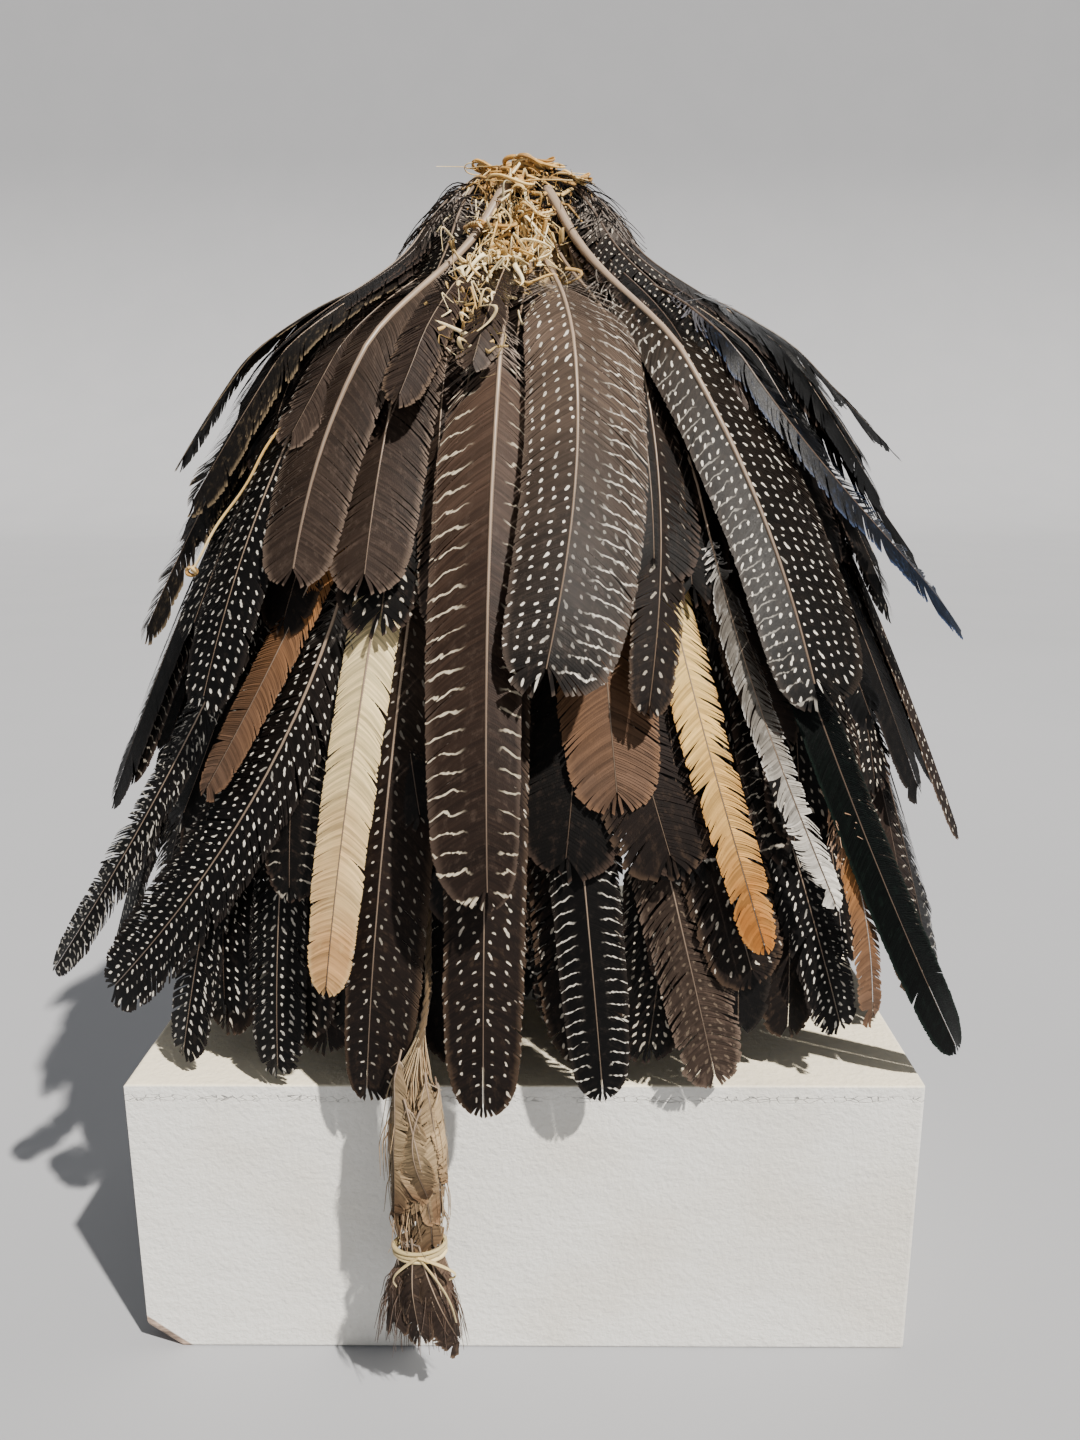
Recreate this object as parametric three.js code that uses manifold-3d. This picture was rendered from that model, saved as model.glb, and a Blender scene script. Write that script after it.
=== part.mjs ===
// A feathered headdress on its display block: a fibre cap covered by rings of spotted,
// brown, cream and black feathers, bound at the crown, with a tuft hanging at the front.
// Millimetres, +Z up, the front faces -Y. The origin is the centre of the block's underside.
import * as THREE from "three";
import { mergeVertices } from "three/addons/utils/BufferGeometryUtils.js";
import Module from "manifold-3d";

const wasm = await Module();
wasm.setup();

// Display block
const blockWidth = 300;
const blockDepth = 200;
const blockHeight = 116;
const chipLength = 16;
const chipHeight = 12;

// Headdress
const dressHeight = 340;
const sideOverhang = 92;
const spreadPower = 0.6;
const frontFlattening = 0.44;

// Cap
const capRadius = 88;
const capHeight = 140;
const capWall = 3;
const capTopDrop = 8;
const capSteps = 9;
const capSides = 28;

// Post
const postRadius = 8;
const footRadius = 34;
const footThickness = 6;
const padSteps = 3;
const padHeight = 16;

// Feathers
const broadVane = 42;
const quillWidth = 2.4;
const quillThickness = 1.6;
const vaneThickness = 1.4;
const layerStep = 2.7;
const layerEase = 0.1;
const ringSteps = 5;
const ringThickness = 1.2;
const shingleLift = 4;
const partingShare = 0.68;
const tipStagger = 0.03;
const bandStep = 10;
const bandOverlap = 1;
const bandInset = 0.2;
const bandThickness = 2;
const bandHeight = 9;
const clearance = 0.35;
const blockClearance = 3;

// Crown binding
const bindingRadius = 42;
const bindingLift = 4.2;
const windings = 5;
const windingDepth = 5;
const knotRadius = 8;
const knotFlatness = 0.6;

// Tail tuft
const tuftOffset = 37;
const stemOffset = 32;
const tuftReach = 126;
const tuftHalfWidth = 14;
const tuftHalfDepth = 6;
const tuftTop = 158;
const tuftFloorGap = 28;
const tieHeight = 68;
const tieRadius = 1.1;

const apexZ = blockHeight + dressHeight;
const dressHalfWidth = blockWidth / 2 + sideOverhang;
const degree = Math.PI / 180;
const { clamp, lerp } = THREE.MathUtils;
const smooth = (t) => THREE.MathUtils.smoothstep(t, 0, 1);

// A solid of manifold-3d from a closed three.js geometry.
function solidOf(geometry) {
  const bare = geometry.index ? geometry.toNonIndexed() : geometry.clone();
  bare.deleteAttribute("normal");
  bare.deleteAttribute("uv");
  const merged = mergeVertices(bare, 1e-3);
  return new wasm.Manifold(
    new wasm.Mesh({
      numProp: 3,
      vertProperties: new Float32Array(merged.attributes.position.array),
      triVerts: new Uint32Array(merged.index.array),
    }),
  );
}

function geometryOf(solid) {
  const mesh = solid.getMesh();
  const position = new Float32Array(mesh.numVert * 3);
  for (let i = 0; i < mesh.numVert; i++) {
    const at = i * mesh.numProp;
    position.set(mesh.vertProperties.subarray(at, at + 3), i * 3);
  }
  const geometry = new THREE.BufferGeometry();
  geometry.setAttribute("position", new THREE.BufferAttribute(position, 3));
  geometry.setIndex(new THREE.BufferAttribute(new Uint32Array(mesh.triVerts), 1));
  geometry.computeVertexNormals();
  return geometry;
}

const joined = (solids) => solids.reduce((all, next) => all.add(next));

// A closed body through sections, each an even run of points that goes down one face and back up
// the other. Faces are split along matching diagonals, so thin bodies keep their thickness.
function loft(sections) {
  const count = sections[0].length;
  const half = count / 2;
  const index = [];
  for (let i = 0; i < sections.length - 1; i++) {
    for (let j = 0; j < count; j++) {
      const a = i * count + j;
      const b = i * count + ((j + 1) % count);
      if (j < half) index.push(a, b, b + count, a, b + count, a + count);
      else index.push(a, b, a + count, b, b + count, a + count);
    }
  }
  const last = (sections.length - 1) * count;
  for (let j = 0; j < half - 1; j++) {
    const k = count - 1 - j;
    index.push(j + 1, j, k, j + 1, k, k - 1);
    index.push(last + j, last + j + 1, last + k, last + j + 1, last + k - 1, last + k);
  }
  const geometry = new THREE.BufferGeometry().setFromPoints(sections.flat());
  geometry.setIndex(index);
  const solid = solidOf(geometry);
  if (solid.volume() > 0) return solid;
  for (let i = 0; i < index.length; i += 3) {
    [index[i + 1], index[i + 2]] = [index[i + 2], index[i + 1]];
  }
  geometry.setIndex(index);
  return solidOf(geometry);
}

// A body turned about +Z from a closed run of [radius, height] pairs.
function turned(profile, segments) {
  const points = profile.map(([radius, height]) => new THREE.Vector2(radius, height));
  const lathe = new THREE.LatheGeometry(points, segments);
  lathe.rotateX(Math.PI / 2);
  const solid = solidOf(lathe);
  return solid.volume() > 0 ? solid : turned(profile.slice().reverse(), segments);
}

// The cap's outer radius at a drop below the apex: a round-topped dome.
function capRadiusAt(drop) {
  const below = clamp(drop - capTopDrop, 0, capHeight);
  return capRadius * Math.sqrt(below / capHeight);
}

// How far the whole headdress spreads from its axis at an azimuth and a drop.
function spreadAt(azimuth, drop) {
  const share = Math.max(drop, 1) / dressHeight;
  const side = dressHalfWidth * share ** spreadPower;
  const front = side * (1 - frontFlattening * share);
  return (side * front) / Math.hypot(front * Math.sin(azimuth * degree), side * Math.cos(azimuth * degree));
}

// The skins that feathers lie on, as shares of the whole spread. Roots are shares of the height,
// and a skin with overBand starts on the outside of a band, not on the cap.
const skins = {
  crownFront: { root: 0.1, ease: 0.15, share: 1.0, overBand: 0 },
  crownSide: { root: 0.1, ease: 0.15, share: 0.95, overBand: 0 },
  middleFront: { root: 0.21, ease: 0.16, share: 0.92, overBand: 1 },
  middleSide: { root: 0.2, ease: 0.18, share: 0.87, overBand: 0 },
  lowerFront: { root: 0.35, ease: 0.16, share: 0.85, overBand: 1 },
  lowerRound: { root: 0.36, ease: 0.22, share: 0.78, overBand: 0 },
};

// A point on a skin. A skin leaves its seat at its root and eases out to its share of the spread.
function onSkin(skin, azimuth, drop) {
  const eased = smooth((drop / dressHeight - skin.root) / skin.ease);
  const seat = capRadiusAt(drop) + clearance + skin.overBand * (bandThickness + 2 * clearance);
  const reach = lerp(seat, Math.max(seat, spreadAt(azimuth, drop) * skin.share), eased);
  const turn = azimuth * degree;
  return new THREE.Vector3(reach * Math.sin(turn), -reach * Math.cos(turn), apexZ - drop);
}

// The way out of a skin at one of its points, and the millimetres in a degree and in a unit of drop.
function skinFrame(skin, azimuth, drop) {
  const across = onSkin(skin, azimuth + 0.5, drop).sub(onSkin(skin, azimuth - 0.5, drop));
  const down = onSkin(skin, azimuth, drop + 0.5).sub(onSkin(skin, azimuth, drop - 0.5));
  const out = down.clone().cross(across).normalize();
  return { perDegree: across.length(), perDrop: down.length(), out };
}

// Lifts a point that would come too near the block's top.
function clearOfBlock(point) {
  const over =
    Math.abs(point.x) < blockWidth / 2 + blockClearance &&
    Math.abs(point.y) < blockDepth / 2 + blockClearance;
  if (over) point.z = Math.max(point.z, blockHeight + blockClearance);
  return point;
}

// The outline of a vane: its width along its length, both as shares.
const outline = [
  { along: 0.0, width: 0.16 },
  { along: 0.1, width: 0.55 },
  { along: 0.3, width: 0.9 },
  { along: 0.55, width: 1.0 },
  { along: 0.8, width: 0.86 },
  { along: 0.94, width: 0.5 },
  { along: 1.0, width: 0.1 },
];

// A feather as one closed body: a bare quill, then a vane that is thickest along its shaft.
// Azimuths are degrees from the front towards the right, and drops are shares of the height.
// width is a share of the broadest vane, and left is the share of it that lies left of the shaft.
// bow bends the path sideways in degrees, layer counts the steps off the skin, flare is how
// far the tip stands off as a share of the broadest vane, and quill is the bare share.
function feather(row) {
  const skin = skins[row.skin];
  const stations = [0, row.quill * 0.6, ...outline.map((place) => lerp(row.quill, 1, place.along))];
  const sections = stations.map((t, i) => {
    const azimuth = lerp(row.rootAzimuth, row.tipAzimuth, t) + row.bow * Math.sin(Math.PI * t);
    const drop = lerp(row.root, row.tip, t ** 1.2) * dressHeight;
    const frame = skinFrame(skin, azimuth, drop);
    const turning = row.tipAzimuth - row.rootAzimuth + row.bow * Math.PI * Math.cos(Math.PI * t);
    const falling = (row.tip - row.root) * dressHeight * 1.2 * Math.max(t, 0.05) ** 0.2;
    const heading = new THREE.Vector2(turning * frame.perDegree, falling * frame.perDrop).normalize();
    const parted = smooth((drop / dressHeight - skin.root) / layerEase);
    const lift = row.layer * layerStep * parted + row.flare * broadVane * t ** 2.5;
    const bare = i < 2;
    const width = bare ? quillWidth : Math.max(quillWidth, broadVane * row.width * outline[i - 2].width);
    const thickness = bare ? quillThickness : vaneThickness;
    const leftShare = bare ? 0.5 : row.left;
    const place = (side, raise) => {
      const aside = azimuth + (side * heading.y) / frame.perDegree;
      const point = onSkin(skin, aside, drop - (side * heading.x) / frame.perDrop);
      clearOfBlock(point.addScaledVector(frame.out, lift));
      return point.addScaledVector(frame.out, raise);
    };
    const left = -width * leftShare;
    const right = width * (1 - leftShare);
    const edge = thickness * 0.35;
    return [
      place(left, edge),
      place(0, thickness),
      place(right, edge),
      place(right, 0),
      place(0, 0),
      place(left, 0),
    ];
  });
  return loft(sections);
}

// The main feathers at the front, from the crown down and from the middle outwards.
const columns = [
  "name", "skin", "rootAzimuth", "root", "tipAzimuth", "tip", "width", "left", "layer", "bow", "flare", "quill", "color",
];
const mainFeathers = [
  ["feather_spotted_front", "crownFront", 9, 0.1, 3, 0.547, 0.9, 0.42, 3, 4, 0.1, 0.16, 0x2b2725],
  ["feather_spotted_right", "crownFront", 17, 0.1, 41, 0.576, 1.0, 0.38, 2, 6, 0.06, 0.2, 0x1d1b1c],
  ["feather_striped_front", "crownFront", -2, 0.1, -4, 0.744, 0.76, 0.64, 2, -1, 0, 0.18, 0x4a372b],
  ["feather_brown_quill", "crownFront", -10, 0.1, -36, 0.46, 0.6, 0.5, 3, -8, 0, 0.3, 0x5d4a3b],
  ["feather_brown_left", "crownFront", -24, 0.1, -24, 0.45, 0.68, 0.5, 1, 0, 0, 0.16, 0x6a5748],
  ["feather_brown_small", "crownFront", -17, 0.1, -12, 0.49, 0.32, 0.5, 0, 0, 0, 0.24, 0x59483b],
  ["feather_spotted_narrow", "crownFront", 25, 0.1, 18, 0.57, 0.44, 0.5, 0, 3, 0, 0.2, 0x54473e],
  ["feather_edge_left", "crownFront", -46, 0.1, -63, 0.524, 0.72, 0.5, 1, -3, 0, 0.14, 0x2a201a],
  ["feather_dotted_left", "crownFront", -38, 0.1, -53, 0.512, 0.7, 0.5, 0, -3, 0, 0.14, 0x382c25],
  ["feather_dotted_low_left", "crownFront", -32, 0.1, -45, 0.58, 0.66, 0.5, 2, -3, 0, 0.18, 0x41332a],
  ["plume_black_upper", "crownFront", 60, 0.1, 77, 0.36, 0.8, 0.5, 3, 0, 0.3, 0.14, 0x121212],
  ["plume_black_side", "crownFront", 50, 0.1, 79, 0.465, 0.8, 0.5, 1, -2, 0.15, 0.14, 0x101113],
  ["plume_blue", "crownFront", 42, 0.1, 80, 0.55, 0.46, 0.5, 3, -12, 0.1, 0.2, 0x15202b],
  ["plume_black_low", "crownFront", 34, 0.1, 52, 0.6, 0.5, 0.5, 0, 2, 0, 0.22, 0x17161a],
  ["feather_spotted_low", "middleFront", -3, 0.212, -6, 0.985, 0.66, 0.5, 1, 0, 0, 0.24, 0x33281f],
  ["feather_ginger_centre", "middleFront", 16, 0.212, 15, 0.668, 0.82, 0.5, 0, -2, 0, 0.14, 0xa9723f],
  ["feather_cream_left", "middleFront", -20, 0.212, -29, 0.86, 0.44, 0.5, 1, 1, 0, 0.24, 0xcdbb98],
  ["feather_cream_right", "middleFront", 22, 0.212, 36, 0.82, 0.4, 0.5, 1, -4, 0, 0.24, 0xc59a5c],
  ["feather_dark_left", "middleFront", -15, 0.212, -25, 0.99, 0.66, 0.35, 0, 1, -0.12, 0.26, 0x352c26],
  ["feather_banded_left", "middleFront", -35, 0.212, -71, 0.92, 0.5, 0.5, 1, 5, 0.1, 0.22, 0x3d2f26],
  ["feather_broad_left", "middleFront", -30, 0.212, -63, 0.92, 0.85, 0.5, 0, 14, 0, 0.34, 0x2f2620],
  ["feather_ginger_left", "middleFront", -25, 0.212, -48, 0.67, 0.38, 0.5, 2, 4, 0, 0.3, 0xa98453],
  ["feather_brown_right", "middleFront", 27, 0.212, 42, 0.62, 0.55, 0.5, 0, -1, 0, 0.22, 0x6b5549],
  ["feather_down_right", "middleFront", 32, 0.212, 45, 0.78, 0.3, 0.5, 3, -6, 0, 0.4, 0x9a948c],
  ["sickle_green", "middleFront", 38, 0.212, 61, 0.97, 0.45, 0.5, 2, -5, 0.1, 0.34, 0x0e1a17],
  ["feather_low_broad", "lowerFront", 18, 0.352, 38, 0.87, 0.8, 0.5, 1, -1, 0, 0.2, 0x47362b],
  ["feather_low_brown", "lowerFront", 13, 0.352, 33, 0.985, 0.66, 0.5, 0, -2, 0, 0.22, 0x55402f],
  ["feather_low_striped", "lowerFront", 6, 0.352, 14, 0.985, 0.56, 0.5, 1, -1, 0, 0.2, 0x1c1918],
  ["feather_low_right", "lowerFront", 28, 0.352, 52, 0.95, 0.66, 0.5, 0, 1, 0, 0.2, 0x3b2f27],
  ["feather_low_left", "lowerFront", -42, 0.352, -55, 0.985, 0.6, 0.5, 1, 0, 0, 0.2, 0x45352a],
  ["feather_low_thin", "lowerFront", -38, 0.352, -41, 0.985, 0.6, 0.5, 0, 0, 0, 0.2, 0x231e1b],
].map((row) => Object.fromEntries(columns.map((column, i) => [column, row[i]])));

// The rings of feathers that fill the rest, each grown from its own band. top is the band's
// upper edge as a share of the height, and from and to are the azimuths that a ring fills.
const rings = [
  { name: "crown_ring", skin: "crownSide", top: 0.045, from: 84, to: 292, count: 12, tip: 0.52 },
  { name: "middle_ring", skin: "middleSide", top: 0.2, from: 66, to: 288, count: 15, tip: 0.8 },
  { name: "lower_ring", skin: "lowerRound", top: 0.34, from: -12, to: 334, count: 22, tip: 0.965 },
];

// The feathers of a ring overlap like shingles and part towards their tips. Each is drawn by
// these columns: where a column stands in its feather's width, how far it reaches from the
// parting to the tip, and how far it stands off the skin, all as shares.
const ringColumns = [
  { across: 0, reach: 0, stand: 0 },
  { across: 0.18, reach: 0.76, stand: 1 },
  { across: 0.5, reach: 1, stand: 0.6 },
  { across: 0.82, reach: 0.76, stand: 0.25 },
];

// A section at an azimuth through places on a skin, each with its share of the height, its
// lift off the skin and its thickness.
function sectionAt(skin, azimuth, places) {
  const outer = [];
  const inner = [];
  for (const place of places) {
    const drop = place.share * dressHeight;
    const point = onSkin(skin, azimuth, drop);
    const { out } = skinFrame(skin, azimuth, drop);
    inner.push(point.clone().addScaledVector(out, place.lift));
    outer.push(point.clone().addScaledVector(out, place.lift + place.thickness));
  }
  return [...outer, ...inner.reverse()];
}

// One column of a ring's feathers, from the band on the cap down to its reach.
function feathered(row, azimuth, reach, stand) {
  const skin = skins[row.skin];
  const places = [{ share: row.top, lift: 0, thickness: bandThickness }];
  for (let k = 0; k < ringSteps; k++) {
    const share = row.top + lerp(bandHeight / dressHeight, reach, (k / (ringSteps - 1)) ** 1.5);
    const lift = shingleLift * stand * smooth((share - skin.root) / layerEase);
    places.push({ share, lift, thickness: k ? ringThickness : bandThickness });
  }
  return sectionAt(skin, azimuth, places);
}

// Where a ring has no feathers its band goes on, slightly slimmer, so it runs into both ends.
function bareBand(row) {
  const thickness = bandThickness - 2 * bandInset;
  const upper = { share: row.top + bandInset / dressHeight, lift: bandInset, thickness };
  const lower = { ...upper, share: row.top + (bandHeight - bandInset) / dressHeight };
  const from = row.to - bandOverlap;
  const to = row.from + 360 + bandOverlap;
  const steps = Math.ceil((to - from) / bandStep);
  const sections = [];
  for (let i = 0; i <= steps; i++) {
    sections.push(sectionAt(skins[row.skin], lerp(from, to, i / steps), [upper, lower]));
  }
  return loft(sections);
}

function ring(row) {
  const pitch = (row.to - row.from) / row.count;
  const full = row.tip - row.top;
  const parting = full * partingShare;
  const sections = [];
  for (let i = 0; i < row.count; i++) {
    const tip = full - (i % 3 ? tipStagger : 0);
    for (const column of ringColumns) {
      const azimuth = row.from + pitch * (i + column.across);
      sections.push(feathered(row, azimuth, lerp(parting, tip, column.reach), column.stand));
    }
  }
  sections.push(feathered(row, row.to, parting, 0));
  return joined([loft(sections), bareBand(row)]);
}

// A point of the cap's inner face, as a share of the way from its top to its rim.
function capInside(share) {
  const below = capWall + (capHeight - capWall) * share ** 2;
  return [(capRadius - capWall) * share, apexZ - capTopDrop - below];
}

// The cap is a dome that is open below.
function netCap() {
  const outer = [];
  const inner = [];
  for (let i = 0; i <= capSteps; i++) {
    const share = i / capSteps;
    outer.push([capRadius * share, apexZ - capTopDrop - capHeight * share ** 2]);
    inner.push(capInside(share));
  }
  return turned([...outer, ...inner.reverse()], capSides);
}

// The post stands on a round foot and carries the cap on a rounded pad.
function displayPost() {
  const pad = [];
  for (let i = 0; i <= padSteps; i++) {
    const [radius, height] = capInside(i / capSteps);
    pad.push([radius, height - clearance]);
  }
  const [padRadius, padEdge] = pad[padSteps];
  const foot = blockHeight + clearance;
  return turned(
    [
      ...pad,
      [padRadius, padEdge - padHeight / 2],
      [postRadius, padEdge - padHeight],
      [postRadius, foot + footThickness],
      [footRadius, foot + footThickness],
      [footRadius, foot],
      [0, foot],
    ],
    capSides,
  );
}

function displayBlock() {
  const block = new THREE.BoxGeometry(blockWidth, blockDepth, blockHeight);
  block.translate(0, 0, blockHeight / 2);
  const chip = new THREE.BufferGeometry().setFromPoints([
    new THREE.Vector3(-blockWidth / 2 - 1, -blockDepth / 2 - 1, -1),
    new THREE.Vector3(-blockWidth / 2 + chipLength, -blockDepth / 2 - 1, -1),
    new THREE.Vector3(-blockWidth / 2 - 1, -blockDepth / 2 + chipLength, -1),
    new THREE.Vector3(-blockWidth / 2 - 1, -blockDepth / 2 - 1, chipHeight),
  ]);
  chip.setIndex([0, 2, 1, 0, 1, 3, 0, 3, 2, 1, 2, 3]);
  return solidOf(block).subtract(solidOf(chip));
}

// The binding is a shell of wound fibre over the crown and the quills there, with knots on it.
function crownBinding() {
  const under = (radius) => {
    const share = Math.max(0, radius - bindingLift) / capRadius;
    return apexZ - capTopDrop - capHeight * share ** 2 + clearance;
  };
  const stepsPerWinding = 3;
  const steps = windings * stepsPerWinding;
  const top = [];
  const bottom = [];
  for (let i = 0; i <= steps; i++) {
    const radius = (bindingRadius * i) / steps;
    const bulge = 0.45 + 0.55 * Math.abs(Math.sin((Math.PI * i) / stepsPerWinding));
    top.push([radius, under(radius) + windingDepth * (i === steps ? 0.2 : bulge)]);
    if (i % stepsPerWinding === 0) bottom.push([radius, under(radius)]);
  }
  const solids = [turned([...top, ...bottom.reverse()], capSides)];
  const knots = [
    { x: 0.1, y: -0.35, size: 1.0 },
    { x: 0.5, y: -0.5, size: 0.85 },
    { x: -0.35, y: -0.2, size: 0.75 },
    { x: 0.15, y: 0.2, size: 0.9 },
  ];
  for (const knot of knots) {
    const lump = new THREE.SphereGeometry(knotRadius * knot.size, 8, 6);
    lump.scale(1.2, 1, knotFlatness);
    const radius = Math.hypot(knot.x, knot.y) * bindingRadius;
    const height = under(radius) + windingDepth / 2 + knotRadius * knot.size * knotFlatness;
    lump.translate(knot.x * bindingRadius, knot.y * bindingRadius, height);
    solids.push(solidOf(lump));
  }
  return joined(solids);
}

// The tuft hangs from a stem that is tied to the cap's rim and comes out between the feathers.
function tailTuft() {
  const rimDrop = capTopDrop + capHeight;
  const stemDepth = 0.22;
  const againstCap = (drop) => {
    const radius = capRadiusAt(drop) + clearance + tuftHalfDepth * stemDepth;
    return Math.sqrt(radius ** 2 - stemOffset ** 2);
  };
  const rimReach = againstCap(rimDrop);
  const tiedDrop = rimDrop - 12;
  const stations = [
    { x: stemOffset, y: againstCap(tiedDrop), z: apexZ - tiedDrop, wide: 0.1, deep: stemDepth },
    { x: stemOffset, y: rimReach, z: apexZ - rimDrop, wide: 0.12, deep: stemDepth },
    { x: stemOffset, y: lerp(rimReach, tuftReach, 0.45), z: apexZ - rimDrop - 80, wide: 0.13, deep: 0.28 },
    { x: stemOffset, y: lerp(rimReach, tuftReach, 0.88), z: tuftTop + 6, wide: 0.14, deep: 0.32 },
    { x: tuftOffset, y: tuftReach, z: tuftTop - 22, wide: 0.7, deep: 0.8 },
    { x: tuftOffset, y: tuftReach, z: lerp(tieHeight, tuftTop, 0.45), wide: 1.0, deep: 1.0 },
    { x: tuftOffset, y: tuftReach, z: tieHeight + 12, wide: 0.9, deep: 1.0 },
    { x: tuftOffset, y: tuftReach, z: tieHeight, wide: 0.68, deep: 0.8 },
    { x: tuftOffset, y: tuftReach, z: tieHeight - 14, wide: 1.0, deep: 0.9 },
    { x: tuftOffset, y: tuftReach, z: tuftFloorGap, wide: 0.7, deep: 0.5 },
  ];
  const sides = 10;
  const sections = stations.map((place) => {
    const points = [];
    for (let i = 0; i < sides; i++) {
      const turn = (2 * Math.PI * i) / sides;
      const x = -place.x + tuftHalfWidth * place.wide * Math.cos(turn);
      points.push(new THREE.Vector3(x, -place.y + tuftHalfDepth * place.deep * Math.sin(turn), place.z));
    }
    return points;
  });
  return loft(sections);
}

function tuftTie() {
  const tie = new THREE.TorusGeometry(1, 0.1, 6, 20);
  const wide = tuftHalfWidth * 0.68 + clearance + tieRadius;
  const deep = tuftHalfDepth * 0.8 + clearance + tieRadius;
  const place = tie.attributes.position;
  for (let i = 0; i < place.count; i++) {
    const turn = Math.atan2(place.getY(i), place.getX(i));
    const away = (Math.hypot(place.getX(i), place.getY(i)) - 1) * (tieRadius / 0.1);
    place.setXYZ(
      i,
      (wide + away) * Math.cos(turn) - tuftOffset,
      (deep + away) * Math.sin(turn) - tuftReach,
      place.getZ(i) * (tieRadius / 0.1) + tieHeight,
    );
  }
  return solidOf(tie);
}

const group = new THREE.Group();

function add(name, solid, color, roughness) {
  const material = new THREE.MeshStandardMaterial({ color, roughness, metalness: 0 });
  const mesh = new THREE.Mesh(geometryOf(solid), material);
  mesh.name = name;
  group.add(mesh);
}

add("display_block", displayBlock(), 0xe9e8e4, 0.65);
add("display_post", displayPost(), 0xb9b7b2, 0.6);
add("net_cap", netCap(), 0x8a7351, 0.85);
add("crown_binding", crownBinding(), 0xc2a25e, 0.75);
for (const row of rings) add(row.name, ring(row), 0x2e2622, 0.6);
for (const row of mainFeathers) add(row.name, feather(row), row.color, 0.55);
add("tail_tuft", tailTuft(), 0xbfa988, 0.8);
add("tuft_tie", tuftTie(), 0xd9c79a, 0.7);

export default group;
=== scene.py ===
"""A feathered headdress on its display block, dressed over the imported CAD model.

Every feather has a shaft and separate barbs, laid on the same skins round the cap as in the
CAD model. Lengths are millimetres until a mesh is made, and azimuths are degrees from the
front towards the right.
"""

import math

import bpy
import numpy as np
from mathutils import Euler, Matrix, Vector


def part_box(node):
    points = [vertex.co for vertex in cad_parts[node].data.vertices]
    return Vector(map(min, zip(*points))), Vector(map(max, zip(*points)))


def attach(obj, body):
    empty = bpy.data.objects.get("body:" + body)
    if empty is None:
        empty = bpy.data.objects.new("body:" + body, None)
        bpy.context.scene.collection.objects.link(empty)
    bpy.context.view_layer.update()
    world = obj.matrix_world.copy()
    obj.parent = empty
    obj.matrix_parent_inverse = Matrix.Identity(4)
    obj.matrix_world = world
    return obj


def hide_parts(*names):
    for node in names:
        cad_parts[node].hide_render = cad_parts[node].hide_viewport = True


MM = 0.001
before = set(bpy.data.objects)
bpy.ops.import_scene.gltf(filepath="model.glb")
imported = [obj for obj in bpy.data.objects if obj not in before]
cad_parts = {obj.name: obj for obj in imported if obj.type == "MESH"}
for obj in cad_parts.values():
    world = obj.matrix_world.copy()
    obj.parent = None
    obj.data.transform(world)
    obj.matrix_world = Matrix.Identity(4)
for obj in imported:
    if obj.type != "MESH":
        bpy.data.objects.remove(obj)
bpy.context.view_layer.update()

# Sizes of the headdress, as in the CAD model
BLOCK_HALF_WIDTH, BLOCK_HALF_DEPTH, BLOCK_HEIGHT = np.array(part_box("display_block")[1]) / MM
CHIP_LENGTH = 16
CHIP_HEIGHT = 12
DRESS_HEIGHT = 340
SIDE_OVERHANG = 92
SPREAD_POWER = 0.6
FRONT_FLATTENING = 0.44
CAP_RADIUS = 88
CAP_HEIGHT = 140
CAP_TOP_DROP = 8
CLEARANCE = 0.35
BAND_THICKNESS = 2
BROAD_VANE = 42
LAYER_STEP = 2.7
LAYER_EASE = 0.1
BINDING_LIFT = 4.2
BINDING_RADIUS = 42
APEX = BLOCK_HEIGHT + DRESS_HEIGHT
DRESS_HALF_WIDTH = BLOCK_HALF_WIDTH + SIDE_OVERHANG

# The camera, fitted to the block's corners in the photograph
PHOTO_HEIGHT = 1440
FOCAL_PIXELS = 1050
CAMERA_PLACE = (10, -452, 336)
CAMERA_PITCH, CAMERA_YAW, CAMERA_ROLL = -12.8, 0.55, -0.2


def make_camera():
    data = bpy.data.cameras.new("camera")
    data.sensor_fit = "VERTICAL"
    data.sensor_height = 36
    data.lens = FOCAL_PIXELS / PHOTO_HEIGHT * data.sensor_height
    data.clip_start = 0.01
    camera = bpy.data.objects.new("camera", data)
    bpy.context.scene.collection.objects.link(camera)
    turn = Euler((math.radians(90 + CAMERA_PITCH), 0, math.radians(CAMERA_YAW))).to_matrix()
    roll = Matrix.Rotation(math.radians(CAMERA_ROLL), 3, "Z")
    camera.matrix_world = Matrix.Translation(Vector(CAMERA_PLACE) * MM) @ (turn @ roll).to_4x4()
    bpy.context.scene.camera = camera


make_camera()


def smooth(t):
    t = np.clip(t, 0, 1)
    return t * t * (3 - 2 * t)


def lerp(a, b, t):
    return a + (b - a) * t


def cap_radius(drop):
    return CAP_RADIUS * np.sqrt(np.clip(drop - CAP_TOP_DROP, 0, CAP_HEIGHT) / CAP_HEIGHT)


# The skins that feathers lie on, from the crown down


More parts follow.
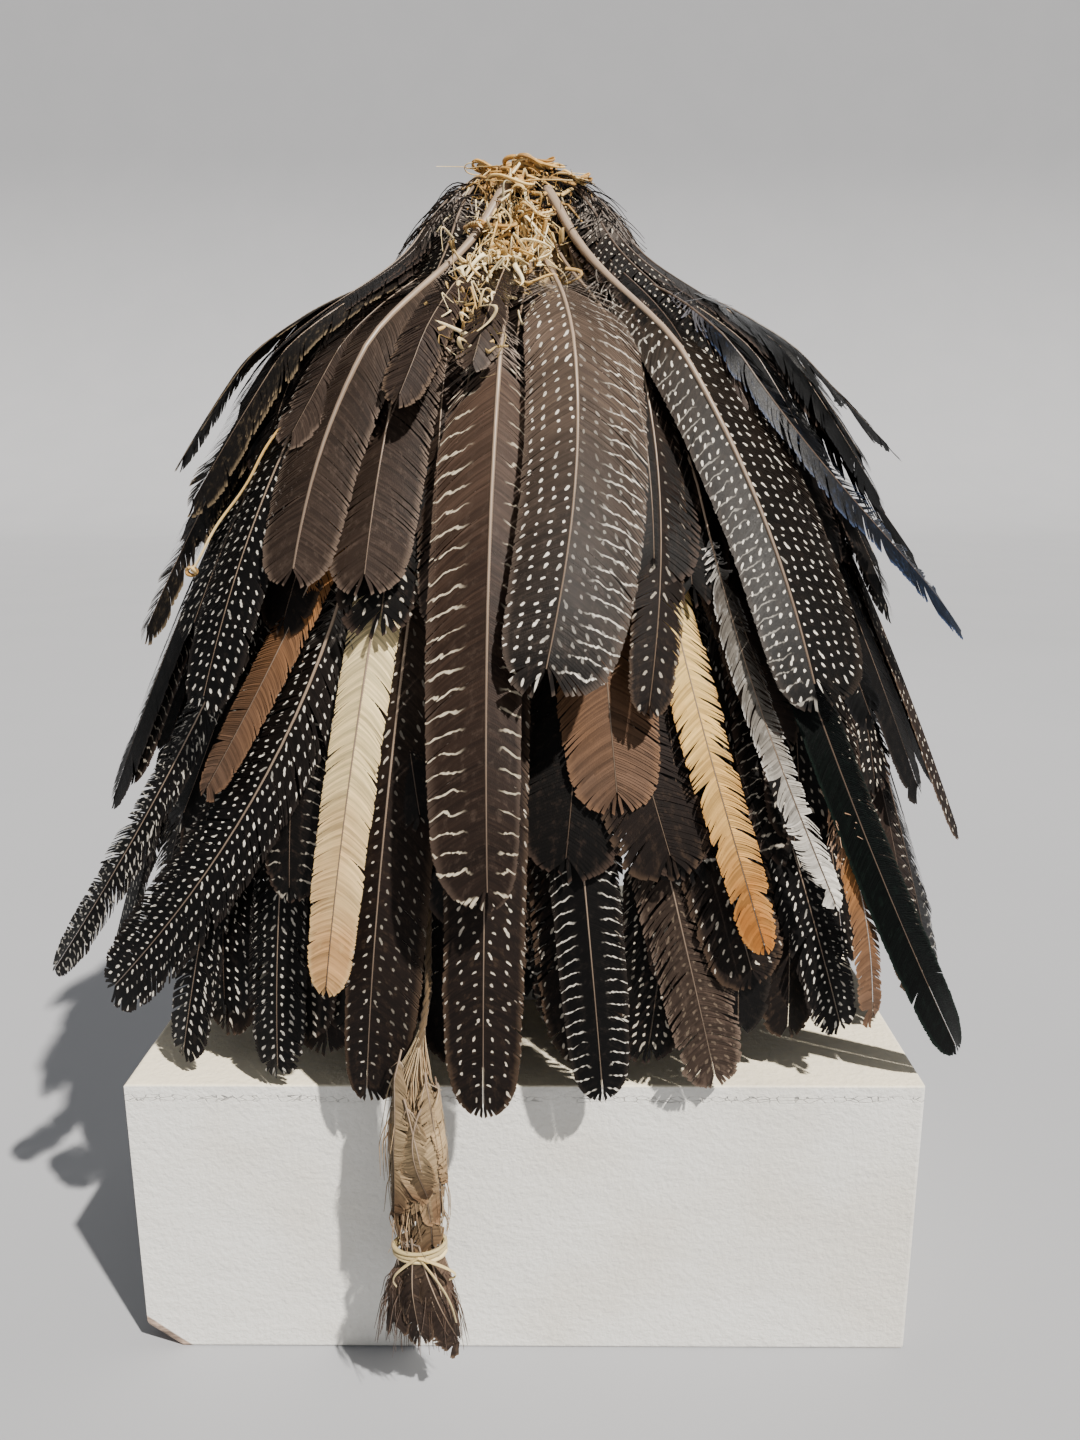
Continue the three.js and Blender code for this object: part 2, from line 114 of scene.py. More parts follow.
class Skin:
    """A surface that leaves the cap at its root and eases out to its share of the whole spread."""

    def __init__(self, root, ease, share, over_band=0):
        self.root = root
        self.ease = ease
        self.share = share
        self.seat = CLEARANCE + over_band * (BAND_THICKNESS + 2 * CLEARANCE)

    def point(self, azimuth, drop):
        seat = cap_radius(drop) + self.seat
        share = np.maximum(drop, 1) / DRESS_HEIGHT
        side = DRESS_HALF_WIDTH * share**SPREAD_POWER
        front = side * (1 - FRONT_FLATTENING * share)
        turn = np.radians(azimuth)
        spread = side * front / np.hypot(front * np.sin(turn), side * np.cos(turn))
        eased = smooth((drop / DRESS_HEIGHT - self.root) / self.ease)
        reach = lerp(seat, np.maximum(seat, spread * self.share), eased)
        return np.stack([reach * np.sin(turn), -reach * np.cos(turn), APEX - drop], axis=-1)

    def frame(self, azimuth, drop):
        across = self.point(azimuth + 0.5, drop) - self.point(azimuth - 0.5, drop)
        down = self.point(azimuth, drop + 0.5) - self.point(azimuth, drop - 0.5)
        out = np.cross(down, across)
        out /= np.linalg.norm(out, axis=-1, keepdims=True)
        return np.linalg.norm(across, axis=-1), np.linalg.norm(down, axis=-1), out


SKINS = {
    "crown_front": Skin(0.1, 0.15, 1),
    "crown_side": Skin(0.1, 0.15, 0.95),
    "middle_front": Skin(0.21, 0.16, 0.92, over_band=1),
    "middle_side": Skin(0.2, 0.18, 0.87),
    "lower_front": Skin(0.35, 0.16, 0.85, over_band=1),
    "lower_round": Skin(0.36, 0.22, 0.78),
}


# Materials


class Value:
    """A socket to do arithmetic with. Each step adds a math node."""

    def __init__(self, nodes, socket):
        self.nodes = nodes
        self.socket = socket

    def __add__(self, other):
        return self.nodes.math("ADD", self, other)

    def __sub__(self, other):
        return self.nodes.math("SUBTRACT", self, other)

    def __mul__(self, other):
        return self.nodes.math("MULTIPLY", self, other)

    def __truediv__(self, other):
        return self.nodes.math("DIVIDE", self, other)

    def __pow__(self, other):
        return self.nodes.math("POWER", self, other)


class Nodes:
    """Builds one material's nodes from numbers, colours and values."""

    def __init__(self, name):
        self.material = bpy.data.materials.new(name)
        self.material.use_nodes = True
        self.tree = self.material.node_tree
        self.shader = self.tree.nodes["Principled BSDF"]

    def put(self, socket, value):
        if isinstance(value, Value):
            self.tree.links.new(value.socket, socket)
        else:
            socket.default_value = value

    def node(self, kind, inputs, **settings):
        """A new node. Its inputs are a tuple of the first ones, or a dict by name or number."""
        made = self.tree.nodes.new(kind)
        for key, value in settings.items():
            setattr(made, key, value)
        for key, value in inputs.items() if isinstance(inputs, dict) else enumerate(inputs):
            self.put(made.inputs[key], value)
        return made

    def value(self, kind, inputs, output=0, **settings):
        return Value(self, self.node(kind, inputs, **settings).outputs[output])

    def math(self, operation, *values):
        return self.value("ShaderNodeMath", values, operation=operation)

    def stretch(self, where, factors):
        return self.value("ShaderNodeVectorMath", (where, factors), operation="MULTIPLY")

    def mix(self, share, first, second, blend="MIX"):
        inputs = {0: share, 6: first, 7: second}
        return self.value("ShaderNodeMix", inputs, 2, data_type="RGBA", blend_type=blend)

    def shaded(self, base, *shares):
        """The colour with its red, green and blue multiplied by the shares."""
        return self.mix(1, base, self.join(*shares), "MULTIPLY")

    def span(self, value, low, high, first=0, second=1):
        inputs = (value, low, high, first, second)
        return self.value("ShaderNodeMapRange", inputs, interpolation_type="SMOOTHSTEP")

    def parts(self, name):
        """The three parts of a mesh attribute."""
        return self.split(self.value("ShaderNodeAttribute", (), "Vector", attribute_name=name))

    def split(self, vector):
        made = self.node("ShaderNodeSeparateXYZ", (vector,))
        return [Value(self, socket) for socket in made.outputs]

    def join(self, *values):
        return self.value("ShaderNodeCombineXYZ", values)

    def place(self):
        return self.value("ShaderNodeTexCoord", (), "Object")

    def noise(self, where, scale, detail=3, rough=0.55):
        inputs = {"Vector": where, "Scale": scale, "Detail": detail, "Roughness": rough}
        return self.value("ShaderNodeTexNoise", inputs)

    def cells(self, where, scale, feature="DISTANCE_TO_EDGE"):
        return self.value("ShaderNodeTexVoronoi", {"Vector": where, "Scale": scale}, feature=feature)

    def ramp(self, value, stops):
        """A colour ramp. Its stops are places and hex codes."""
        made = self.node("ShaderNodeValToRGB", (value,))
        elements = made.color_ramp.elements
        while len(elements) < len(stops):
            elements.new(0.5)
        for element, (place, code) in zip(elements, stops):
            element.position = place
            element.color = color(code)
        return Value(self, made.outputs[0])

    def bump(self, height, strength, distance):
        inputs = {"Height": height, "Strength": strength, "Distance": distance}
        self.set(Normal=self.value("ShaderNodeBump", inputs))

    def set(self, **values):
        for key, value in values.items():
            self.put(self.shader.inputs[key.replace("_", " ")], value)


def color(code):
    """A linear colour from a hex code."""
    parts = [int(code[i : i + 2], 16) / 255 for i in (0, 2, 4)]
    return (*[c / 12.92 if c <= 0.04045 else ((c + 0.055) / 1.055) ** 2.4 for c in parts], 1)


# Looks of the vanes: colours at the root, the middle and the tip, of the vane's edge, and of
# its marks, then the depth of the vane's own colours, how much of the edge shows, the
# roughness, and the record's slot.
LOOKS = {
    "spotted": ("514438 2a221c 110f0e 40362e e4ded2", 0.31, 0.3, 0.45, "spotted_feather"),
    "spotted_grey": ("7f6c5e 493d34 15110f 685a50 e8e2d6", 0.607, 0.3, 0.45, "spotted_feather"),
    "spotted_brown": ("5e4c3f 33261f 241b17 584637 d8cebd", 0.31, 0.4, 0.6, "spotted_feather"),
    "spotted_black": ("352b25 141010 0d0b0b 38302b e6e0d4", 0.223, 0.25, 0.45, "spotted_feather"),
    "striped": ("7c6353 4e3b30 33261f 65554a dccfb6", 0.341, 0.3, 0.5, "striped_feather"),
    "striped_black": ("2f2722 130f0e 0d0b0b 352e29 dad4c8", 0.223, 0.3, 0.45, "striped_feather"),
    "brown": ("68574b 46382f 52433a 78675a a89680", 0.36, 0.45, 0.5, "brown_feather"),
    "pink_brown": ("75614f 54433a 453831 75614f a4907c", 0.372, 0.45, 0.55, "brown_feather"),
    "dark_edge": ("33281f 1d1611 1a130f 7d6c54 b5a88f", 0.26, 0.6, 0.55, "brown_feather"),
    "cream": ("ecdcb0 e3cc98 b98f60 d2b682 e8dfca", 0.874, 0.35, 0.7, "cream_feather"),
    "cream_ginger": ("e8d598 d6b06a 8f5a28 a67339 e8dfca", 0.846, 0.5, 0.7, "cream_feather"),
    "ginger": ("c07f3e 785539 604a3b 785a42 cdb28a", 0.644, 0.4, 0.6, "ginger_feather"),
    "black": ("0f0d0d 080808 080809 121214 2c2c2e", 0.248, 0.4, 0.38, "black_plume"),
    # The blue in this black look is a painted sheen, not the feather's own colour.
    "blue_black": ("101116 13161d 1d2738 35476a 3a3a3c", 0.31, 0.4, 0.36, "black_plume"),
    # The green in this black look is a painted sheen, not the feather's own colour.
    "green_black": ("0d1311 09100d 060a08 14211b 3a3a3c", 0.248, 0.4, 0.24, "green_sickle"),
    "down": ("3a342f 8b857c d4cfc6 efece6 efece6", 0.662, 0.3, 0.85, "mottled_down"),
    "tan": ("b79c78 c4aa84 7d6147 8f7355 e4dcc9", 0.372, 0.5, 0.7, "tuft"),
    "fill": ("483a30 221a15 181310 4c3d34 d2c8b7", 0.211, 0.45, 0.55, "fill_feathers"),
}


# Distances between the spots and between the bars
SPOT_STEP, WIDE_SPOT_STEP = 3.9, 5.2
BAR_STEP, WIDE_BAR_STEP = 4.6, 6.4
SPOT_ROW = 0.93


def spots(n, place, jitter, grain, step):
    """Spots in rows along the barbs, every other column shifted by half a step."""
    side, ahead, where = place
    column = side / step + (jitter - 0.5) * 1.1
    shift = n.math("MODULO", n.math("FLOOR", column), 2) * 0.5
    row = ahead / (step * SPOT_ROW) + shift + jitter * 1.2
    aside = (n.math("FRACT", column) - 0.5) * step
    below = (n.math("FRACT", row) - 0.5) * (step * SPOT_ROW)
    away = n.math("SQRT", aside**2 + below**2)
    return n.span(away + grain * 0.2, 0.78, 0.58) * n.span(n.noise(where, 0.05), 0.36, 0.55, 0.35, 1)


def bars(n, place, jitter, grain, out, step):
    """Thin bars that follow the barbs and leave the shaft free."""
    side, ahead, _ = place
    level = (ahead + side * 0.5) / step + jitter * 0.8
    wave = n.math("ABSOLUTE", n.math("FRACT", level) - 0.5)
    return n.span(wave + grain * 0.04, 0.09, 0.045) * n.span(out, 0.3, 0.6)


def vane_material(look):
    """Barbs in streaked tones, with staggered spots, oblique bars and a worn edge."""
    colors, depth, worn, rough, _ = LOOKS[look]
    root, middle, tip, edge, mark = colors.split()
    edge, mark = color(edge), color(mark)
    n = Nodes("vane_" + look)
    side, ahead, along = n.parts("place")
    out, grain, tone = n.parts("look")
    spotted, barred, downy = n.parts("marks")
    wobble = n.noise(n.place(), 60)
    base = n.ramp(along + (wobble - 0.5) * 0.35, [(0, root), (0.5, middle), (0.95, tip)])
    streak = n.noise(n.join(side * 0.1, ahead * 1.6, 0), 1, 4)
    shade = (streak * 0.7 + grain * 0.5 + 0.42) * (tone * 0.9 + 0.55)
    shade = shade**1.25 * depth
    base = n.shaded(base, shade, shade, shade)
    where = n.join(side, ahead, tone)
    mottle = n.span(n.noise(where, 0.35, 5, 0.7), 0.5, 0.72)
    base = n.mix(mottle * 0.2, base, edge)
    jitter = n.noise(where, 0.16, 2)
    place = (side, ahead, where)
    spot = spots(n, place, jitter, grain, WIDE_SPOT_STEP if look == "spotted_brown" else SPOT_STEP)
    base = n.mix(spot * (spotted * 0.9), base, mark)
    bar = bars(n, place, jitter, grain, out, WIDE_BAR_STEP if look == "striped" else BAR_STEP)
    base = n.mix(bar * (barred * 0.85), base, mark)
    base = n.mix(n.span(out, 0.82, 1) * worn, base, edge)
    base = n.mix(downy * 0.55, base, n.mix(0.5, edge, color("a9a199")))
    n.bump(n.noise(n.join(side * 3, ahead * 0.8, 0), 1.5, 2), 0.35, 0.0003)
    n.set(Base_Color=base, Roughness=n.span(streak, 0, 1, rough - 0.08, rough + 0.12))
    n.set(Specular_IOR_Level=0.13)
    return n.material


def strand_material(name, stops, rough=0.7, sheen=0.1, shine=0.4):
    """Dry fibre: long streaks, a grain of its own in each strand and fine ridges."""
    n = Nodes(name)
    side, ahead, along = n.parts("place")
    tone = n.parts("look")[2]
    streak = n.noise(n.join(ahead * 0.25, side * 9, tone), 1, 4)
    shade = streak * 0.6 + (tone * 0.8 + 0.35)
    base = n.shaded(n.ramp(along * 0.75 + tone * 0.25, stops), shade, shade, shade * 0.96)
    n.bump(streak, 0.5, 0.0004)
    n.set(Base_Color=base, Roughness=n.span(streak, 0.2, 0.8, rough - 0.1, rough + 0.1))
    n.set(Sheen_Weight=sheen, Specular_IOR_Level=shine)
    return n.material


def shaft_material():
    """Horn in fine lines, pale at the quill and darker towards the tip."""
    n = Nodes("shaft")
    side, ahead, along = n.parts("place")
    _, grain, tone = n.parts("look")
    lines = n.noise(n.join(side * 4, ahead * 0.08, grain), 1)
    pale = n.mix(lines, color("75604f"), color("a8947f"))
    dark = n.mix(lines, color("2a221d"), color("5f4c3c"))
    base = n.mix(n.span(along, 0.35, 0.95) * 0.75, pale, dark)
    base = n.mix(n.span(tone, 0.5, 0.2), base, dark)
    n.bump(lines, 0.3, 0.0003)
    n.set(Base_Color=base, Roughness=n.span(lines, 0.2, 0.8, 0.32, 0.5))
    return n.material


# Mesh building


class Build:
    """Collects quads with their attributes, makes one mesh of them and has its own random draws."""

    def __init__(self, seed):
        self.rng = np.random.default_rng(seed)
        self.points, self.faces, self.kinds = [], [], []
        self.attributes = {"place": [], "look": [], "marks": []}
        self.count = 0

    def add(self, points, faces, kind, **attributes):
        """Adds points in an array of any shape. An attribute's three parts are spread over that shape."""
        shape = points.shape[:-1]
        self.points.append(points.reshape(-1, 3))
        self.faces.append(faces + self.count)
        self.kinds.append(np.full(len(faces), kind))
        for key, lists in self.attributes.items():
            given = attributes.get(key, (0, 0, 0))
            lists.append(np.stack([np.broadcast_to(part, shape).ravel() for part in given], axis=-1))
        self.count += math.prod(shape)

    def make(self, name, materials, slot, *nodes):
        points = np.concatenate(self.points)
        over = (np.abs(points[:, 0]) < BLOCK_HALF_WIDTH) & (np.abs(points[:, 1]) < BLOCK_HALF_DEPTH)
        points[:, 2] = np.where(over, np.maximum(points[:, 2], BLOCK_HEIGHT + 0.5), points[:, 2])
        faces = np.concatenate(self.faces)
        mesh = bpy.data.meshes.new(name)
        mesh.vertices.add(len(points))
        mesh.vertices.foreach_set("co", (points * MM).astype(np.float32).ravel())
        mesh.loops.add(faces.size)
        mesh.loops.foreach_set("vertex_index", faces.astype(np.int32).ravel())
        mesh.polygons.add(len(faces))
        mesh.polygons.foreach_set("loop_start", np.arange(0, faces.size, 4, dtype=np.int32))
        mesh.polygons.foreach_set("material_index", np.concatenate(self.kinds).astype(np.int32))
        mesh.update()
        for key, lists in self.attributes.items():
            values = mesh.attributes.new(key, "FLOAT_VECTOR", "POINT")
            values.data.foreach_set("vector", np.concatenate(lists).astype(np.float32).ravel())
        for material in materials:
            mesh.materials.append(material)
        piece = bpy.data.objects.new(name, mesh)
        bpy.context.scene.collection.objects.link(piece)
        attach(piece, "root")
        if nodes:
            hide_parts(*nodes)


def grid_faces(rows, columns, wrap=False):
    """Quads of one grid of points; wrap joins its last column to its first."""
    i, j = np.meshgrid(np.arange(rows - 1), np.arange(columns if wrap else columns - 1), indexing="ij")
    k = (j + 1) % columns
    quads = [i * columns + j, i * columns + k, (i + 1) * columns + k, (i + 1) * columns + j]
    return np.stack(quads, axis=-1).reshape(-1, 4)


def repeated(faces, count, size):
    return (faces[None] + (np.arange(count) * size)[:, None, None]).reshape(-1, 4)


def unit(vectors):
    return vectors / np.maximum(np.linalg.norm(vectors, axis=-1, keepdims=True), 1e-9)


def strands(build, paths, radii, kind=0, sides=4, flat=1, tone=None, along=None):
    """Tubes along many paths of the same number of points, with a radius at each point."""
    rng = build.rng
    count, steps = paths.shape[:2]
    ahead = np.gradient(paths, axis=1)
    tangent = unit(ahead)
    hint = unit(np.cross(tangent.mean(axis=1), rng.normal(size=(count, 3))))[:, None]
    side = unit(np.cross(tangent, np.cross(hint, tangent)))
    over = np.cross(side, tangent)
    turn = np.arange(sides) * 2 * np.pi / sides
    radii = np.broadcast_to(radii, (count, steps))[..., None, None]
    ring = side[:, :, None] * np.cos(turn)[:, None] + over[:, :, None] * np.sin(turn)[:, None] * flat
    tone = rng.random(count) if tone is None else tone
    share = np.linspace(0, 1, steps)[None, :] if along is None else along
    gone = np.cumsum(np.linalg.norm(ahead, axis=-1), axis=1)
    build.add(
        paths[:, :, None] + radii * ring,
        repeated(grid_faces(steps, sides, wrap=True), count, steps * sides),
        kind,
        place=(turn, gone[..., None], share[..., None]),
        look=(0, rng.random(), tone[:, None, None]),
    )


# Feathers

# Width of a vane's outline as shares of its half width, at shares of its length
OUTLINE_PLACES = [0, 0.05, 0.18, 0.5, 0.75, 0.88, 0.94, 0.975, 0.992, 1]
OUTLINE_WIDTHS = [0.35, 0.72, 0.94, 1, 0.98, 0.91, 0.79, 0.58, 0.34, 0.03]

PATH_STEPS = 70
PATH_OVERRUN = 1.08
MOST_CLUMPS = 121
CLUMP_LENGTH = 24
SHAFT_RINGS = 26
SHAFT_SIDES = 6
UNMARKED = (0, 0, 0, 0)

# What a feather has unless its row says otherwise
FEATHER_DEFAULTS = dict(left=0.5, base=0, rise=0, tone=0.5, marks=UNMARKED, downy=0.12, shaft=1.05)


def feather_path(row):
    """A feather's length and a function that lays points beside its line, on its skin."""
    skin = SKINS[row["skin"]]
    t = np.linspace(0, PATH_OVERRUN, PATH_STEPS)
    bend = row["bow"] * np.sin(np.pi * np.minimum(t, 1))
    azimuth = lerp(row["root_az"], row["tip_az"], t) + bend
    drop = lerp(row["root"], row["tip"], t**1.2) * DRESS_HEIGHT
    per_degree, per_drop, _ = skin.frame(azimuth, drop)
    turning = np.gradient(azimuth, t) * per_degree
    falling = np.gradient(drop, t) * per_drop
    pace = np.hypot(turning, falling)
    gone = np.concatenate([[0], np.cumsum((pace[1:] + pace[:-1]) / 2 * np.diff(t))])
    parted = smooth((drop / DRESS_HEIGHT - skin.root) / LAYER_EASE)
    lift = row["layer"] * LAYER_STEP * parted + row["flare"] * BROAD_VANE * t**2.5
    lift = lift + row["base"] + row["rise"] * (1 - parted)
    tables = [azimuth, drop, turning / pace, falling / pace, per_degree, per_drop, lift]

    def lay(side, ahead, raised):
        az, down, hx, hy, degree, unit_drop, up = (np.interp(ahead, gone, values) for values in tables)
        az = az + side * hy / degree
        down = np.maximum(down - side * hx / unit_drop, CAP_TOP_DROP + 1)
        out = skin.frame(az, down)[2]
        return skin.point(az, down) + out * (up + raised)[..., None]

    return np.interp(1, t, gone), lay


def each(values):
    """One value for each barb, ready to spread over its points."""
    return values[:, None, None]


def add_barbs(build, row, total, lay, sign, pitch, segments, kind):
    """The barbs on one side of the shaft. The sign is -1 on the left and 1 on the right."""
    rng = build.rng
    half = BROAD_VANE * row["width"] * (row["left"] if sign < 0 else 1 - row["left"])
    ragged, split = row["ragged"], row["split"]
    quill = row["quill"] * total
    last = total - half * 0.4
    starts = np.arange(quill, last, pitch)
    count = len(starts)
    along = (starts - quill) / (last - quill)
    starts = starts + rng.normal(0, pitch * 0.12, count)
    # The vane is closed, apart from a few notches where it has come apart
    breaks = np.cumsum(rng.gamma(2, CLUMP_LENGTH / split**1.3, MOST_CLUMPS - 1)) + quill
    clump = np.searchsorted(breaks, starts)
    away = starts - breaks[:, None]
    gather = (np.sign(away) * np.exp(-np.abs(away) / 5)).sum(axis=0) * 0.55 * split
    pull = rng.normal(0, 0.35 * split**2, MOST_CLUMPS)[clump]
    curl = rng.normal(0, 0.22 * split, MOST_CLUMPS)[clump]
    downy = smooth((row["downy"] - along) / max(row["downy"], 0.01) * 1.4)
    worn = 1 - ragged**2 * rng.random(count) ** 4 * 1.3
    worn = worn - ragged**1.5 * 0.4 * rng.random(MOST_CLUMPS)[clump]
    reach = half * np.interp(along, OUTLINE_PLACES, OUTLINE_WIDTHS) * worn
    reach *= 1 + rng.normal(0, 0.008, count) + downy * rng.uniform(-0.4, 0.5, count)
    forward = half * lerp(0.9, 0.4, along**3) * (1 - downy * rng.uniform(0, 0.8, count))
    # Each barb is a strip of points: q from the shaft outwards, edge on its two long edges
    q = np.linspace(0, 1, segments + 1)[None, :, None]
    edge = np.array([-1, 1])
    strip = pitch * lerp(1.35, 1.02 - 0.3 * ragged, q**3) * (1 - 0.5 * each(downy))
    ahead = each(starts) + each(forward) * (0.62 * q + 0.38 * q**2) + each(pull + gather) * q**2
    ahead = ahead + edge * strip / 2
    turned = each(smooth((along - 0.78) / 0.2)) * np.minimum(q * 3, 1)
    side = sign * np.maximum(0.25 + each(reach) * q - edge * pitch * 0.55 * turned, 0.1)
    camber = (1 - q) ** 1.5 + each(curl) * q**2 + 0.12 * edge
    camber = camber + each(downy * rng.normal(0, 2.2, count)) * q
    faces = repeated(grid_faces(segments + 1, 2), count, (segments + 1) * 2)
    left_dots, right_dots, left_bars, right_bars = row["marks"]
    marks = (left_dots, left_bars) if sign < 0 else (right_dots, right_bars)
    build.add(
        lay(side, ahead, np.maximum(0.1 + camber, -0.4)),
        faces[:, ::-1] if sign < 0 else faces,
        kind,
        place=(np.abs(side), each(starts) + edge * pitch / 2, each(along)),
        look=(q, each(rng.random(count)), row["tone"]),
        marks=(*marks, each(downy)),
    )


def add_shaft(build, row, total, lay, kind):
    """The shaft, from a round quill to a hair's breadth."""
    ahead = np.linspace(0, total - BROAD_VANE * row["width"] * 0.22, SHAFT_RINGS)[:, None]
    share = ahead / total
    radius = row["shaft"] * np.sqrt(row["width"]) * lerp(1, 0.18, share**0.8)
    turn = np.arange(SHAFT_SIDES) * 2 * np.pi / SHAFT_SIDES
    side = radius * np.cos(turn)
    points = lay(side, ahead + 0 * turn, 0.9 + radius * (0.4 + np.sin(turn)))
    faces = grid_faces(SHAFT_RINGS, SHAFT_SIDES, wrap=True)
    look = (0, build.rng.random(), row["shaft_tone"])
    build.add(points, faces, kind, place=(side, ahead, share), look=look)


def feather(build, row, pitch=0.8, segments=4, kinds=(0, 1)):
    """A shaft and two rows of barbs, mapped on a skin in the way of the CAD model's blades."""
    row = {**FEATHER_DEFAULTS, **row}
    total, lay = feather_path(row)
    for sign in (-1, 1):
        add_barbs(build, row, total, lay, sign, pitch, segments, kinds[0])
    add_shaft(build, row, total, lay, kinds[1])


# The main feathers, a tier at a time: the skin and the root of all its feathers, and a row for
# each one. Marks are spots on the left and right vane, then bars on the left and right vane.
MAIN_COLUMNS = [
    "name", "root_az", "tip_az", "tip", "width", "left", "layer", "bow", "flare", "quill",
    "look", "marks", "ragged", "split", "shaft_tone",
]  # fmt: skip
MAIN_FEATHERS = [
    ("crown_front", 0.1, [
        ("feather_spotted_front", 9, 3, 0.547, 0.9, 0.42, 3, 4, 0.1, 0.16,
         "spotted_grey", (1, 0.25, 0, 0.9), 0.15, 1, 0.7),
        ("feather_spotted_right", 17, 41, 0.576, 1, 0.38, 2, 6, 0.06, 0.2,
         "spotted", (0.9, 1, 0.3, 0), 0.12, 0.8, 0.8),
        ("feather_striped_front", -2, -4, 0.744, 0.7, 0.64, 2, -1, 0, 0.24,
         "striped", (0, 0, 0.9, 0.7), 0.1, 0.6, 0.6),
        ("feather_brown_quill", -10, -33, 0.46, 0.74, 0.5, 3, -8, 0, 0.26,
         "brown", UNMARKED, 0.25, 1.2, 0.9),
        ("feather_brown_left", -24, -23, 0.46, 0.76, 0.5, 1, 0, 0, 0.1,
         "brown", UNMARKED, 0.3, 1.4, 0.6),
        ("feather_brown_small", -17, -12, 0.49, 0.32, 0.5, 0, 0, 0, 0.24,
         "brown", UNMARKED, 0.6, 2, 0.5),
        ("feather_spotted_narrow", 25, 18, 0.57, 0.44, 0.5, 0, 3, 0, 0.2,
         "spotted_brown", (0.5, 0.5, 0, 0), 0.3, 1.2, 0.6),
        ("feather_edge_left", -46, -63, 0.524, 0.72, 0.5, 1, -3, 0, 0.14,
         "dark_edge", UNMARKED, 0.65, 2.2, 0.5),
        ("feather_dotted_left", -38, -53, 0.512, 0.7, 0.5, 0, -3, 0, 0.14,
         "spotted_black", (0.7, 0.7, 0, 0), 0.45, 1.8, 0.5),
        ("feather_dotted_low_left", -32, -45, 0.58, 0.66, 0.5, 2, -3, 0, 0.18,
         "spotted_black", (0.8, 0.8, 0, 0), 0.2, 1.2, 0.6),
        ("plume_black_upper", 60, 77, 0.36, 0.8, 0.5, 3, 0, 0.3, 0.14,
         "black", UNMARKED, 0.85, 3.2, 0.1),
        ("plume_black_side", 50, 79, 0.465, 0.8, 0.5, 1, -2, 0.15, 0.14,
         "black", UNMARKED, 0.85, 3.2, 0.1),
        # This plume is black; its blue is a painted sheen.
        ("plume_blue", 42, 80, 0.55, 0.46, 0.5, 3, -12, 0.1, 0.2,
         "blue_black", UNMARKED, 0.75, 2.4, 0.1),
        ("plume_black_low", 34, 52, 0.6, 0.5, 0.5, 0, 2, 0, 0.22,
         "black", UNMARKED, 0.8, 2.6, 0.1),
    ]),
    ("middle_front", 0.212, [
        ("feather_spotted_low", -3, -6, 0.985, 0.66, 0.5, 1, 0, 0, 0.24,
         "spotted_brown", (0.9, 0.9, 0, 0), 0.2, 1, 0.6),
        ("feather_ginger_centre", 16, 15, 0.668, 0.82, 0.5, 0, -2, 0, 0.14,
         "ginger", UNMARKED, 0.3, 1.4, 0.4),
        ("feather_cream_left", -20, -29, 0.86, 0.44, 0.5, 1, 1, 0, 0.24,
         "cream", UNMARKED, 0.25, 1.2, 0.8),
        ("feather_cream_right", 22, 36, 0.82, 0.4, 0.5, 1, -4, 0, 0.24,
         "cream_ginger", UNMARKED, 0.5, 1.6, 0.8),
        ("feather_dark_left", -15, -25, 0.99, 0.66, 0.35, 0, 1, -0.12, 0.26,
         "spotted_brown", (1, 0.35, 0, 0), 0.15, 0.8, 0.6),
        ("feather_banded_left", -35, -71, 0.92, 0.5, 0.5, 1, 5, 0.1, 0.22,
         "striped_black", (0.6, 0.6, 0.7, 0.7), 0.55, 1.9, 0.6),
        ("feather_broad_left", -30, -63, 0.92, 0.85, 0.5, 0, 14, 0, 0.34,
         "spotted_black", (0.9, 0.9, 0, 0), 0.45, 1.7, 0.6),
        ("feather_ginger_left", -25, -48, 0.67, 0.38, 0.5, 2, 4, 0, 0.3,
         "ginger", UNMARKED, 0.4, 1.3, 0.6),
        ("feather_brown_right", 27, 42, 0.62, 0.55, 0.5, 0, -1, 0, 0.22,
         "pink_brown", UNMARKED, 0.3, 1.3, 0.5),
        ("feather_down_right", 32, 45, 0.78, 0.3, 0.5, 3, -6, 0, 0.4,
         "down", UNMARKED, 0.7, 2.4, 0.7),
        # This sickle feather is black; its green is a painted sheen.
        ("sickle_green", 38, 61, 0.97, 0.45, 0.5, 2, -5, 0.1, 0.34,
         "green_black", UNMARKED, 0.15, 0.7, 0.1),
    ]),
    ("lower_front", 0.352, [
        ("feather_low_broad", 18, 38, 0.87, 0.8, 0.5, 1, -1, 0, 0.2,
         "spotted_brown", (0.9, 0.9, 0, 0), 0.45, 1.6, 0.6),
        ("feather_low_brown", 13, 33, 0.985, 0.66, 0.5, 0, -2, 0, 0.22,
         "brown", (0.2, 0.2, 0, 0), 0.6, 1.8, 0.6),
        ("feather_low_striped", 6, 14, 0.985, 0.56, 0.5, 1, -1, 0, 0.2,
         "striped_black", (0, 0, 0.9, 0.9), 0.2, 1, 0.6),
        ("feather_low_right", 28, 52, 0.95, 0.66, 0.5, 0, 1, 0, 0.2,
         "spotted_black", (0.8, 0.8, 0, 0), 0.5, 1.9, 0.6),
        ("feather_low_left", -42, -55, 0.985, 0.6, 0.5, 1, 0, 0, 0.2,
         "spotted_black", (0.7, 0.7, 0, 0), 0.6, 2, 0.6),
        ("feather_low_thin", -38, -41, 0.985, 0.6, 0.5, 0, 0, 0, 0.2,
         "spotted_black", (0.6, 0.6, 0, 0), 0.5, 1.8, 0.5),
    ]),
]  # fmt: skip

SHAFT = shaft_material()
VANES = {look: vane_material(look) for look in LOOKS}

# What some main feathers have of their own: a thicker quill, which on two of them starts higher
# on the crown and lies over the binding, or a vane that is less split
QUILLS = {
    "feather_brown_quill": dict(shaft=2.1, root=0.055, rise=7),
    "feather_spotted_right": dict(shaft=1.9, root=0.06, rise=6),
    "feather_striped_front": dict(shaft=1.3),
    "feather_cream_left": dict(shaft=1.3),
    "feather_brown_left": dict(split=0.8),
    "feather_ginger_centre": dict(split=0.8),
}


